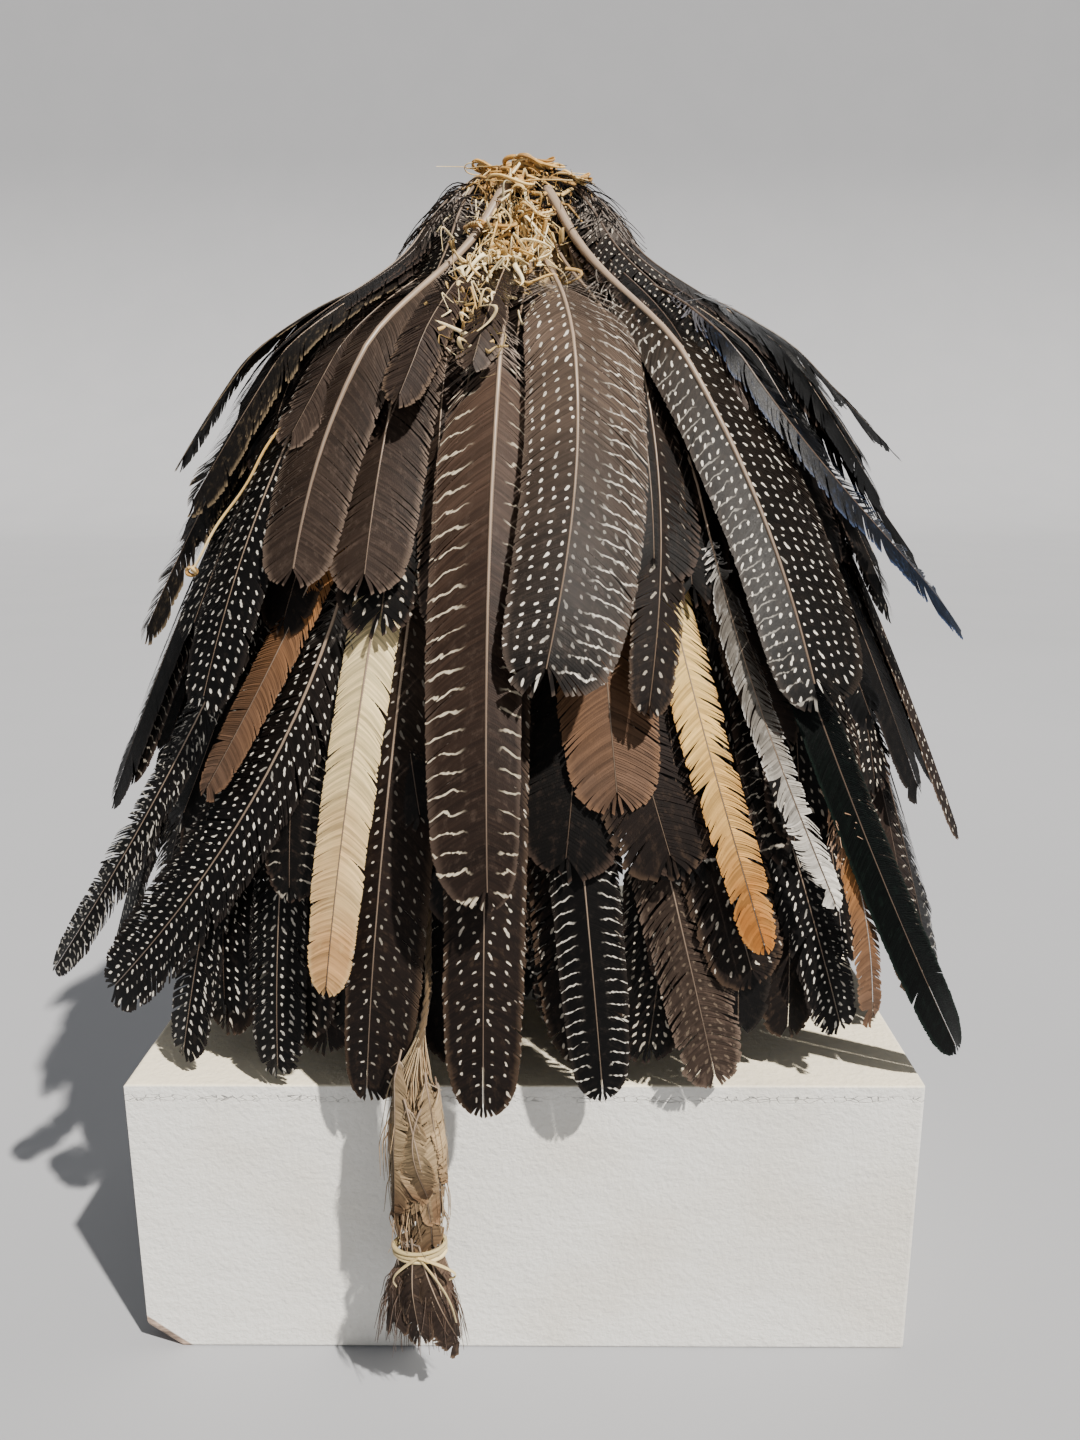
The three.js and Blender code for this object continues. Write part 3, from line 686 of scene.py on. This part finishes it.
def make_main_feathers():
    rows = [(skin, root, *row) for skin, root, tier in MAIN_FEATHERS for row in tier]
    for index, values in enumerate(rows):
        row = dict(zip(["skin", "root", *MAIN_COLUMNS], values))
        row.update(QUILLS.get(row["name"], {}))
        build = Build(100 + index)
        feather(build, row)
        build.make("piece_" + row["name"], [VANES[row["look"]], SHAFT], LOOKS[row["look"]][-1], row["name"])


# The rings of feathers that fill the rest, laid all the way round under the main feathers. The
# crown's ring has short ones on top.
RINGS = [
    dict(name="crown_ring", skin="crown_side", root=0.105, tip=0.5, count=46, short=46),
    dict(name="middle_ring", skin="middle_side", root=0.206, tip=0.775, count=52),
    dict(name="lower_ring", skin="lower_round", root=0.346, tip=0.95, count=60),
]


def long_feather(rng, ring, index):
    """One of the feathers that hang all the way round."""
    azimuth = 360 * (index + rng.uniform(-0.35, 0.35)) / ring["count"]
    spotted = rng.random()
    dots = 0.9 if spotted > 0.55 else 0
    bands = 0.6 if spotted < 0.15 else 0
    return dict(
        skin=ring["skin"], root=ring["root"], root_az=azimuth, tip_az=azimuth + rng.normal(0, 5.5),
        tip=ring["tip"] + rng.uniform(-0.085, 0.02), width=rng.uniform(0.6, 0.95),
        left=rng.uniform(0.42, 0.58), layer=(index * 7 % 5) * 0.4, bow=rng.normal(0, 3.5),
        flare=rng.uniform(-0.02, 0.06), quill=0.12, tone=rng.choice([0.25, 0.45, 0.6, 0.9]),
        marks=(dots, dots, bands, bands), ragged=rng.uniform(0.15, 0.5), split=rng.uniform(0.8, 1.8),
        shaft=0.8, shaft_tone=rng.uniform(0.1, 0.5),
    )  # fmt: skip


def short_feather(rng, ring, index):
    """One of the downy feathers over the quills of the crown's sides and back."""
    azimuth = 32 + 300 * (index + rng.uniform(0.2, 0.8)) / ring["short"]
    return dict(
        skin=ring["skin"], root_az=azimuth, tip_az=azimuth + rng.normal(0, 7),
        root=rng.uniform(0.03, 0.07), tip=rng.uniform(0.2, 0.36), width=rng.uniform(0.6, 0.9),
        layer=rng.uniform(0, 1.2), base=rng.uniform(3, 7.5), bow=rng.normal(0, 4),
        flare=rng.uniform(0, 0.06), quill=0.06, tone=rng.choice([0.1, 0.3, 0.5]),
        marks=UNMARKED if rng.random() < 0.6 else (0.8, 0.8, 0, 0),
        ragged=0.5, split=1.6, downy=0.2, shaft=0.7, shaft_tone=rng.uniform(0.1, 0.4),
    )  # fmt: skip


def make_rings():
    vanes = [VANES["fill"], SHAFT, VANES["spotted_brown"], VANES["striped_black"]]
    for seed, ring in enumerate(RINGS):
        build = Build(10 + seed)
        for i in range(ring["count"]):
            row = long_feather(build.rng, ring, i)
            vane = build.rng.choice([0, 0, 0, 2, 3])
            feather(build, row, pitch=1.15, segments=3, kinds=(vane, 1))
        for i in range(ring.get("short", 0)):
            feather(build, short_feather(build.rng, ring, i), pitch=0.95, segments=3)
        build.make("piece_" + ring["name"], vanes, "fill_feathers", ring["name"])


# Crown binding, down and fibre ends


def over_crown(azimuth, radius, lift):
    """A point over the cap's top and the quills on it."""
    below = CAP_TOP_DROP + CAP_HEIGHT * (np.maximum(0, radius - BINDING_LIFT) / CAP_RADIUS) ** 2
    turn = np.radians(azimuth)
    return np.stack([radius * np.sin(turn), -radius * np.cos(turn), APEX - below + lift], axis=-1)


BINDING_STEPS = 48


def wandering(rng, count, size):
    """Slow random offsets along each of the binding's strands."""
    nodes = rng.normal(0, size, (count, 5))
    at = np.linspace(0, 4, BINDING_STEPS)
    return np.stack([np.interp(at, np.arange(5), row) for row in nodes])


# Knots of the binding: place as a share of its radius, and size. Some lie on the front feathers.
KNOTS = [
    (0.1, -0.35, 1.1), (0.45, -0.4, 0.8), (-0.3, -0.2, 0.8), (0.15, 0.2, 0.8), (-0.1, -0.72, 1),
    (0.12, -1, 0.8), (-0.28, -1.05, 0.9), (-0.12, -1.35, 0.8), (-0.32, -1.45, 0.6),
]  # fmt: skip


def add_windings(build, t):
    """Strands wound round the crown: golden ones at the middle, brown ones outside."""
    rng = build.rng
    for count, low, high, size, rise, kind in ((40, 2, 19, 0.55, 3, 0), (90, 16, 41, 0.6, 1.5, 1)):
        start = rng.uniform(0, 360, (count, 1))
        radius = rng.uniform(low, high, (count, 1)) + wandering(rng, count, 2.4)
        lift = rise + rng.uniform(-0.8, 2.2, (count, 1)) + wandering(rng, count, 1)
        turns = rng.uniform(120, 400, (count, 1))
        paths = over_crown(start + turns * t, np.maximum(radius, 1), np.maximum(lift, 0.5))
        strands(build, paths, size * rng.uniform(0.6, 1.1, (count, 1)) * (1 - 0.3 * t), kind, flat=0.6)


def add_crossings(build, t):
    """Strands drawn across the crown, a little in front of its middle."""
    rng = build.rng
    count = 46
    heading = rng.uniform(0, np.pi, (count, 1))
    offset = rng.uniform(-16, 16, (count, 1))
    run = rng.uniform(10, 24, (count, 1)) * (2 * t - 1)
    bow = rng.normal(0, 9, (count, 1)) * np.sin(np.pi * t) + offset
    x = run * np.cos(heading) - bow * np.sin(heading) + wandering(rng, count, 1.4)
    y = run * np.sin(heading) + bow * np.cos(heading) + wandering(rng, count, 1.4) - 10
    azimuth = np.degrees(np.arctan2(x, -y))
    lift = 4.5 + 3.2 * np.sin(np.pi * t) + wandering(rng, count, 0.9)
    size = rng.uniform(0.35, 0.9, (count, 1))
    strands(build, over_crown(azimuth, np.hypot(x, y), np.maximum(lift, 0.6)), size, flat=0.4)


def add_knot(build, t, x, y, size):
    """A knot of small loops with loose ends that hang to the front."""
    rng = build.rng
    radius = math.hypot(x, y) * BINDING_RADIUS
    azimuth = math.degrees(math.atan2(x, -y))
    centre = over_crown(np.array(azimuth), np.array(radius), np.array(8))
    count = 12
    turn = rng.uniform(0, 6.28, (count, 1)) + rng.uniform(4, 8, (count, 1)) * t
    tilt = rng.normal(0, 0.5, (count, 3))
    loop = np.stack([np.cos(turn), np.sin(turn), 0.35 * np.sin(2 * turn)], axis=-1)
    loop = loop + tilt[:, None] * loop[..., :1] * 0.7
    grow = (rng.uniform(2.4, 6.6, (count, 1)) * size)[..., None]
    loops = centre + loop * grow * np.array([1.15, 1, 0.66])
    strands(build, loops, rng.uniform(0.35, 0.95, (count, 1)), flat=0.5)
    count = 14
    away = unit(rng.normal(size=(count, 3)) * np.array([1, 1, 0.3]) + np.array([0, -0.6, -0.35]))
    length = rng.uniform(4, 10, (count, 1, 1))
    bend = rng.normal(0, 0.7, (count, 1, 3))
    run = t[..., None]
    ends = centre + away[:, None] * run * length + bend * run**2 * length
    ends[..., 2] = np.minimum(ends[..., 2], centre[2] + 2.5 * t) - 3 * t**2
    strands(build, ends, rng.uniform(0.25, 0.75, (count, 1)) * (1 - 0.5 * t), flat=0.4)


def add_pale_ends(build, t):
    """Pale fibre ends over the roots of the front feathers."""
    rng = build.rng
    count = 70
    azimuth = rng.normal(-6, 15, (count, 1))
    begin = rng.uniform(24, 44, (count, 1))
    length = rng.uniform(4, 14, (count, 1))
    drift = rng.normal(0, 9, (count, 1))
    lift = 6 + wandering(rng, count, 2.4) + rng.uniform(0, 4, (count, 1)) * t**2
    drift = drift * t + wandering(rng, count, 3)
    paths = over_crown(azimuth + drift, begin + length * t, np.maximum(lift, 1.5))
    size = rng.uniform(0.25, 0.9, (count, 1))
    tint = rng.uniform(0.3, 1.3, (count, 1))
    strands(build, paths, size * (1 - 0.6 * t), flat=0.45, along=tint)


def add_string(build, t):
    """A string with a knotted end that hangs on the left."""
    line = SKINS["crown_front"].point(lerp(-38, -53, t), lerp(60, 150, t)) * np.array([1.06, 1.06, 1])
    line = line + np.stack([np.sin(t * 21), np.cos(t * 17), 0 * t], axis=-1) * 0.6
    strands(build, line, 0.5, sides=6)
    turn = 14 * t
    loop = np.stack([np.cos(turn), np.sin(turn * 1.3), np.sin(turn)], axis=-1) * 1.4
    strands(build, line[:, -1:] + loop, 0.6, sides=6)


def make_binding(raffia):
    build = Build(5)
    t = np.linspace(0, 1, BINDING_STEPS)[None, :]
    add_windings(build, t)
    add_crossings(build, t)
    for knot in KNOTS:
        add_knot(build, t, *knot)
    add_pale_ends(build, t)
    add_string(build, t)
    brown = strand_material("brown_fibre", [(0, "241913"), (1, "7a5c3a")], rough=0.8)
    build.make("piece_crown_binding", [raffia, brown], "raffia", "crown_binding")


def make_fibre_ends(raffia):
    """Short pale chips and curls of fibre that lie down the front between the feathers."""
    build = Build(9)
    rng = build.rng
    t = np.linspace(0, 1, 14)[None, :]
    skin = SKINS["crown_front"]
    for count, azimuth, spread, low, high in ((75, -2, 9, 26, 56), (100, -9, 5, 48, 84)):
        drop = rng.uniform(low, high, (count, 1)) + rng.normal(0, 4.5, (count, 1)) * t
        az = rng.normal(azimuth, spread, (count, 1)) + rng.normal(0, 3, (count, 1)) * t
        lift = 6 + rng.uniform(0, 6, (count, 1)) + rng.normal(0, 2, (count, 1)) * t
        paths = skin.point(az, drop) + skin.frame(az, drop)[2] * lift[..., None]
        paths = paths + rng.normal(0, 2, (count, 1, 3)) * np.sin(np.pi * t)[..., None]
        paths = paths + rng.normal(0, 1.7, (count, 1, 3)) * np.sin(2 * np.pi * t)[..., None]
        size = rng.uniform(0.3, 1.15, (count, 1))
        tint = rng.uniform(0.5, 1.4, (count, 1))
        strands(build, paths, size * (1 - 0.5 * t), sides=5, flat=0.3, along=tint)
    build.make("piece_fibre_ends", [raffia], "raffia")


# Small soft feathers over the roots of the others, and a ginger one at the lower right: azimuth
# of root and tip, root, tip, width, layer, look
SOFT_FEATHERS = [
    (-34, -40, 0.05, 0.33, 0.5, 1.4, "brown"), (-15, -20, 0.06, 0.3, 0.42, 2.6, "pink_brown"),
    (-5, -8, 0.09, 0.27, 0.34, 2.6, "brown"), (34, 44, 0.05, 0.3, 0.5, 0.3, "pink_brown"),
    (-50, -58, 0.04, 0.4, 0.7, 1.8, "dark_edge"), (44, 54, 0.05, 0.36, 0.6, 1.2, "black"),
    (58, 68, 0.04, 0.4, 0.7, 2, "black"), (-72, -82, 0.035, 0.36, 0.8, 2.6, "dark_edge"),
    (78, 88, 0.035, 0.36, 0.8, 2.6, "black"), (45, 50, 0.66, 0.91, 0.3, 0.4, "ginger"),
]  # fmt: skip


def make_soft_feathers():
    columns = ("root_az", "tip_az", "root", "tip", "width", "layer", "look")
    for index, values in enumerate(SOFT_FEATHERS):
        row = dict(zip(columns, values))
        row["skin"] = "crown_front" if row["root"] < 0.4 else "middle_front"
        row.update(bow=2, flare=0.05, quill=0.08, base=3, ragged=0.5, split=1.7, downy=0.3)
        row.update(shaft=0.8, shaft_tone=0.7)
        build = Build(300 + index)
        feather(build, row)
        look = row["look"]
        build.make(f"piece_soft_feather_{index + 1}", [VANES[look], SHAFT], LOOKS[look][-1])


def make_crown_down():
    """Short black and brown down round the crown, closest at its front right."""
    build = Build(6)
    rng = build.rng
    t = np.linspace(0, 1, 9)[None, :]
    for azimuth, spread, begin, count, length in (
        (-72, 26, 26, 190, 17),
        (150, 80, 26, 300, 15),
        (62, 26, 22, 190, 16),
        (30, 12, 17, 320, 9),
    ):
        az = rng.normal(azimuth, spread, (count, 1))
        radius = begin + rng.uniform(-7, 12, (count, 1))
        reach = rng.uniform(0.3, 1.3, (count, 1)) * length
        lift = 3 + rng.uniform(0, 0.9, (count, 1)) * reach * t * (1.6 - t)
        paths = over_crown(az + rng.normal(0, 9, (count, 1)) * t, radius + reach * t, lift)
        bend = rng.normal(0, 1.6, (count, 1, 3)) * t[..., None] ** 2
        tone = rng.choice([0.1, 0.2, 0.7], count)
        strands(build, paths + bend, 0.42 * (1 - 0.8 * t), sides=3, tone=tone, along=tone[:, None])
    stops = [(0, "070606"), (0.5, "120d0b"), (1, "33271f")]
    down = strand_material("crown_down", stops, rough=0.8, sheen=0, shine=0.15)
    build.make("piece_crown_down", [down], "black_plume")


# Tail tuft: its centre line as in the CAD model, from the cap's rim down, and its half widths
TUFT_X = -37
TUFT_Y = -126
TUFT_LINE = np.array(
    [[-32, -84, 308], [-32, -103.5, 228], [-32, -121, 164]]
    + [[TUFT_X, TUFT_Y, z] for z in (136, 109, 80, 68, 54, 28)]
)
TUFT_WIDTHS = np.array([1.4, 1.6, 1.9, 9, 12.5, 11, 8, 13.5, 16.5])
TUFT_TIE = 68
TUFT_FLOOR = 24


def tuft_centre(z):
    heights = TUFT_LINE[::-1, 2]
    return np.stack([np.interp(z, heights, TUFT_LINE[::-1, k]) for k in (0, 1)] + [z], axis=-1)


def tuft_half(z):
    return np.interp(z, TUFT_LINE[::-1, 2], TUFT_WIDTHS[::-1])


class TuftSkin(Skin):
    """A sleeve round the tuft's centre line, as wide as a share of the tuft."""

    def __init__(self, share):
        super().__init__(0, 1, share)

    def point(self, azimuth, drop):
        z = APEX - drop
        half = tuft_half(z) * self.share
        turn = np.radians(azimuth)
        flat = np.stack([half * np.sin(turn), -0.55 * half * np.cos(turn), 0 * z], axis=-1)
        return tuft_centre(z) + flat


SKINS["tuft"] = TuftSkin(0.66)


def make_tuft_feathers():
    """Small feathers of the tuft: cream ones above its tie and brown ones below."""
    groups = (
        ("upper", 16, (122, 146), (70, 92), (0.16, 0.28), "tan"),
        ("lower", 17, (66, 76), (25, 50), (0.14, 0.28), "pink_brown"),
    )
    for seed, (name, count, tops, tips, widths, look) in enumerate(groups):
        build = Build(20 + seed)
        rng = build.rng
        for i in range(count):
            azimuth = 360 * i / count + rng.normal(0, 8)
            row = dict(
                skin="tuft", root_az=azimuth, tip_az=azimuth + rng.normal(35, 30),
                root=(APEX - rng.uniform(*tops)) / DRESS_HEIGHT,
                tip=(APEX - rng.uniform(*tips)) / DRESS_HEIGHT,
                width=rng.uniform(*widths), layer=rng.uniform(0, 0.5), bow=rng.normal(0, 14),
                flare=0.03, quill=0.06, tone=rng.uniform(0.1, 0.95), ragged=0.6, split=2.4,
                downy=0.02, shaft=0.7, shaft_tone=0.7,
            )  # fmt: skip
            feather(build, row, pitch=0.6, segments=3)
        build.make(f"piece_tuft_{name}", [VANES[look], SHAFT], "tuft")


def make_tuft():
    """The tuft's bundle of fibres, above its tie and below, and its twisted stem."""
    build = Build(7)
    rng = build.rng
    t = np.linspace(0, 1, 14)[None, :]
    for count, tops, lengths, floor, shades in (
        (420, (84, 160), (26, 52), TUFT_TIE - 2, (0, 0.42)),
        (520, (60, 72), (18, 42), TUFT_FLOOR, (0.55, 1)),
    ):
        top = rng.uniform(*tops, (count, 1))
        end = top - rng.uniform(*lengths, (count, 1))
        z = lerp(top, np.maximum(end, floor + rng.uniform(0, 9, (count, 1))), t)
        half = tuft_half(z)
        turn = rng.uniform(0, 2 * np.pi, (count, 1))
        ring = half * np.sqrt(rng.uniform(0.05, 1, (count, 1))) * smooth(t * 1.3 + 0.12)
        offset = np.stack([np.cos(turn) * ring, np.sin(turn) * ring * 0.5, 0 * z], axis=-1)
        curl = rng.normal(0, 1.5, (count, 1, 3)) * t[..., None] ** 2 * np.array([1, 0.6, 0])
        shade = np.clip(lerp(*shades, (160 - z) / 130) + rng.normal(0, 0.1, (count, 1)), 0, 1)
        paths = tuft_centre(z) + offset + curl
        strands(build, paths, 0.42 * (1 - 0.75 * t), sides=3, flat=0.4, along=shade)
    z = np.linspace(318, 112, 60)
    for phase in (0, 2.1, 4.2):
        twist = np.stack([np.cos(z * 0.5 + phase), np.sin(z * 0.5 + phase), 0 * z], axis=-1) * 0.75
        strands(build, (tuft_centre(z) + twist)[None], 0.75, kind=1, sides=6)
    stops = [(0, "c4ae8a"), (0.3, "9a7d5c"), (0.55, "6b4f3a"), (1, "3b2a1f")]
    fibre = strand_material("tuft_fibre", stops, rough=0.75)
    stem = strand_material("tuft_stem", [(0, "4a3926"), (1, "5e4a30")])
    build.make("piece_tail_tuft", [fibre, stem], "tuft", "tail_tuft")


def make_tie():
    """Three turns of pale fibre round the tuft, and loose ends in front of it."""
    build = Build(8)
    t = np.linspace(0, 1, 60)
    for lift, phase in ((-1.5, 0), (0, 0.4), (1.4, 0.9)):
        turn = t * 2 * np.pi + phase
        z = TUFT_TIE + lift + 0.8 * np.sin(turn + phase)
        turns = np.stack([TUFT_X + 9.2 * np.cos(turn), TUFT_Y + 5.4 * np.sin(turn), z], axis=-1)
        strands(build, turns[None], 1, sides=6, flat=0.7)
    for reach, drop, bow in ((11, -9, 7), (-8, -12, -4), (13, -27, 3)):
        bulge = np.sin(np.pi * t)
        x = TUFT_X + reach * t + bow * bulge
        end = np.stack([x, TUFT_Y - 5.8 - 1.6 * bulge, TUFT_TIE + drop * t], axis=-1)
        strands(build, end[None], 0.9 * (1 - 0.5 * t), sides=6, flat=0.4)
    pale = strand_material("pale_raffia", [(0, "b79f6a"), (1, "d0bd90")], rough=0.6)
    build.make("piece_tuft_tie", [pale], "pale_raffia", "tuft_tie")


RAFFIA_STOPS = [(0, "7a5528"), (0.4, "b5873f"), (0.75, "cfae70"), (1, "ecd9ae")]
RAFFIA = strand_material("raffia", RAFFIA_STOPS, rough=0.5)

make_main_feathers()
make_rings()
make_soft_feathers()
make_binding(RAFFIA)
make_fibre_ends(RAFFIA)
make_crown_down()
make_tuft()
make_tuft_feathers()
make_tie()


# Block, post and cap keep their CAD shapes and get their finishes here. Only the block's edges are
# rounded. Both numbers are metres.
BLOCK_ROUNDING = 0.0012
WELD_DISTANCE = 1e-6


def block_material():
    """Brushed white paint, the top creamier with painted sunlight, crazed under the front's edge, worn to
    bare wood.
    """
    n = Nodes("painted_wood")
    where = n.place()
    x, y, z = n.split(where)
    brush = n.noise(n.stretch(where, (38, 60, 72)), 1, 6, 0.66)
    grit = n.noise(where, 420, 3, 0.6)
    cloud = n.noise(where, 9, 4)
    # Painted sunlight: the top face is lighter and creamier than the sides, as where the sun falls on it.
    top = n.span(z, (BLOCK_HEIGHT - 1) * MM, BLOCK_HEIGHT * MM)
    paint = n.mix(top, color("e6e5e0"), color("f8ebcd"))
    paint = n.mix(brush * grit * 0.8, paint, color("bdbbb3"))
    paint = n.mix(n.span(cloud, 0.48, 0.7) * 0.45, paint, color("cbc3b2"))
    # Crazing in a band under the upper edge
    level = z + (cloud - 0.5) * (2.5 * MM)
    above = n.span(level, (BLOCK_HEIGHT - 7.5) * MM, (BLOCK_HEIGHT - 6.5) * MM)
    band = above * n.span(level, (BLOCK_HEIGHT - 4) * MM, (BLOCK_HEIGHT - 5) * MM)
    cracks = n.span(n.cells(n.stretch(where, (1, 1, 2.2)), 260), 0.07, 0.02)
    cracks = cracks * band * n.span(brush, 0.4, 0.55)
    paint = n.mix(cracks * 0.6, paint, color("8d8a84"))
    # Bare wood at the chipped corner
    corner = (x + BLOCK_HALF_WIDTH * MM) / (CHIP_LENGTH * MM)
    corner = corner + (y + BLOCK_HALF_DEPTH * MM) / (CHIP_LENGTH * MM) + z / (CHIP_HEIGHT * MM)
    grain = n.noise(n.stretch(where, (60, 400, 400)), 1, 4)
    wood = n.mix(n.span(grain, 0.35, 0.65), color("66574c"), color("bba28f"))
    base = n.mix(n.span(corner + (cloud - 0.5) * 0.4, 1.18, 1.1), paint, wood)
    speck = n.span(n.cells(where, 45, "F1"), 0.06, 0.03) * n.span(cloud, 0.55, 0.65)
    base = n.mix(speck * 0.5, base, color("a39c90"))
    n.bump(brush * 0.7 + grit * 0.45 - cracks * 0.8, 0.6, 0.0018)
    n.set(Base_Color=base, Roughness=n.span(brush, 0.2, 0.8, 0.5, 0.7))
    return n.material


def fibre_net_material():
    """A knotted net of twisted brown fibre."""
    n = Nodes("fibre_net")
    where = n.place()
    cords = n.span(n.cells(where, 230), 0.3, 0.05)
    twist = n.noise(n.stretch(where, (900, 900, 300)), 1)
    base = n.mix(cords, color("4b3a28"), n.mix(twist, color("8a7351"), color("b59c74")))
    n.bump(cords + twist * 0.4, 0.8, 0.001)
    n.set(Base_Color=base, Roughness=n.span(twist, 0, 1, 0.75, 0.95))
    return n.material


def post_material():
    """Grey paint with upright brush marks, dusty in places."""
    n = Nodes("painted_post")
    where = n.place()
    brush = n.noise(n.stretch(where, (300, 300, 20)), 1, 4)
    base = n.mix(brush, color("a8a6a1"), color("c4c1ba"))
    base = n.mix(n.span(n.noise(where, 30), 0.5, 0.7) * 0.3, base, color("8f8a80"))
    n.bump(brush, 0.3, 0.0004)
    n.set(Base_Color=base, Roughness=n.span(brush, 0.2, 0.8, 0.5, 0.7))
    return n.material


def finish_nodes():
    for name, material in (
        ("display_block", block_material()),
        ("display_post", post_material()),
        ("net_cap", fibre_net_material()),
    ):
        solid = bpy.data.objects[name]
        solid.data.materials.clear()
        solid.data.materials.append(material)
        if name == "display_block":
            solid.modifiers.new("weld", "WELD").merge_threshold = WELD_DISTANCE
            bevel = solid.modifiers.new("bevel", "BEVEL")
            bevel.width = BLOCK_ROUNDING
            bevel.segments = 3


finish_nodes()


# Floor, world and lights, in metres. The floor bends up into a wall at the back.
FLOOR_HALF = 6
BEND_RADIUS = 3
BEND_STEPS = 25
WALL_TOP = 8
LIGHTS_LOOK_AT = (0, -0.05, 0.25)


def make_stage():
    mesh = bpy.data.meshes.new("floor")
    turns = np.linspace(0, math.pi / 2, BEND_STEPS)
    bend = [(math.sin(turn) * BEND_RADIUS, (1 - math.cos(turn)) * BEND_RADIUS) for turn in turns]
    line = [(-2 * FLOOR_HALF, 0), *bend, (BEND_RADIUS, WALL_TOP)]
    points = [(x, FLOOR_HALF + y, z) for y, z in line for x in (-FLOOR_HALF, FLOOR_HALF)]
    mesh.from_pydata(points, [], [(2 * i, 2 * i + 1, 2 * i + 3, 2 * i + 2) for i in range(len(line) - 1)])
    mesh.shade_smooth()
    floor = bpy.data.objects.new("floor", mesh)
    bpy.context.scene.collection.objects.link(floor)
    n = Nodes("floor")
    speck = n.noise(n.place(), 3, 3)
    n.set(Base_Color=n.mix(speck, color("929498"), color("98999d")), Roughness=0.9)
    mesh.materials.append(n.material)
    world = bpy.data.worlds.new("studio")
    world.use_nodes = True
    back = world.node_tree.nodes["Background"]
    back.inputs["Color"].default_value = (0.73, 0.735, 0.74, 1)
    back.inputs["Strength"].default_value = 0.42
    bpy.context.scene.world = world


def make_light(name, kind, place, power, size, tint=(1, 1, 1)):
    """A lamp that looks at the headdress. A sun's size is an angle in radians."""
    data = bpy.data.lights.new(name, kind)
    data.energy = power
    data.color = tint
    if kind == "SUN":
        data.angle = size
    else:
        data.size = size
    light = bpy.data.objects.new(name, data)
    bpy.context.scene.collection.objects.link(light)
    light.location = place
    light.rotation_euler = (Vector(LIGHTS_LOOK_AT) - Vector(place)).to_track_quat("-Z", "Y").to_euler()


make_stage()
make_light("key", "SUN", (0.75, -0.9, 1.65), 9.5, 0.025, (1, 0.95, 0.88))
make_light("fill", "AREA", (-1.1, -0.9, 0.7), 1.5, 1.2, (0.95, 0.97, 1))
make_light("back", "AREA", (0.3, 1.3, 1.2), 5, 1)
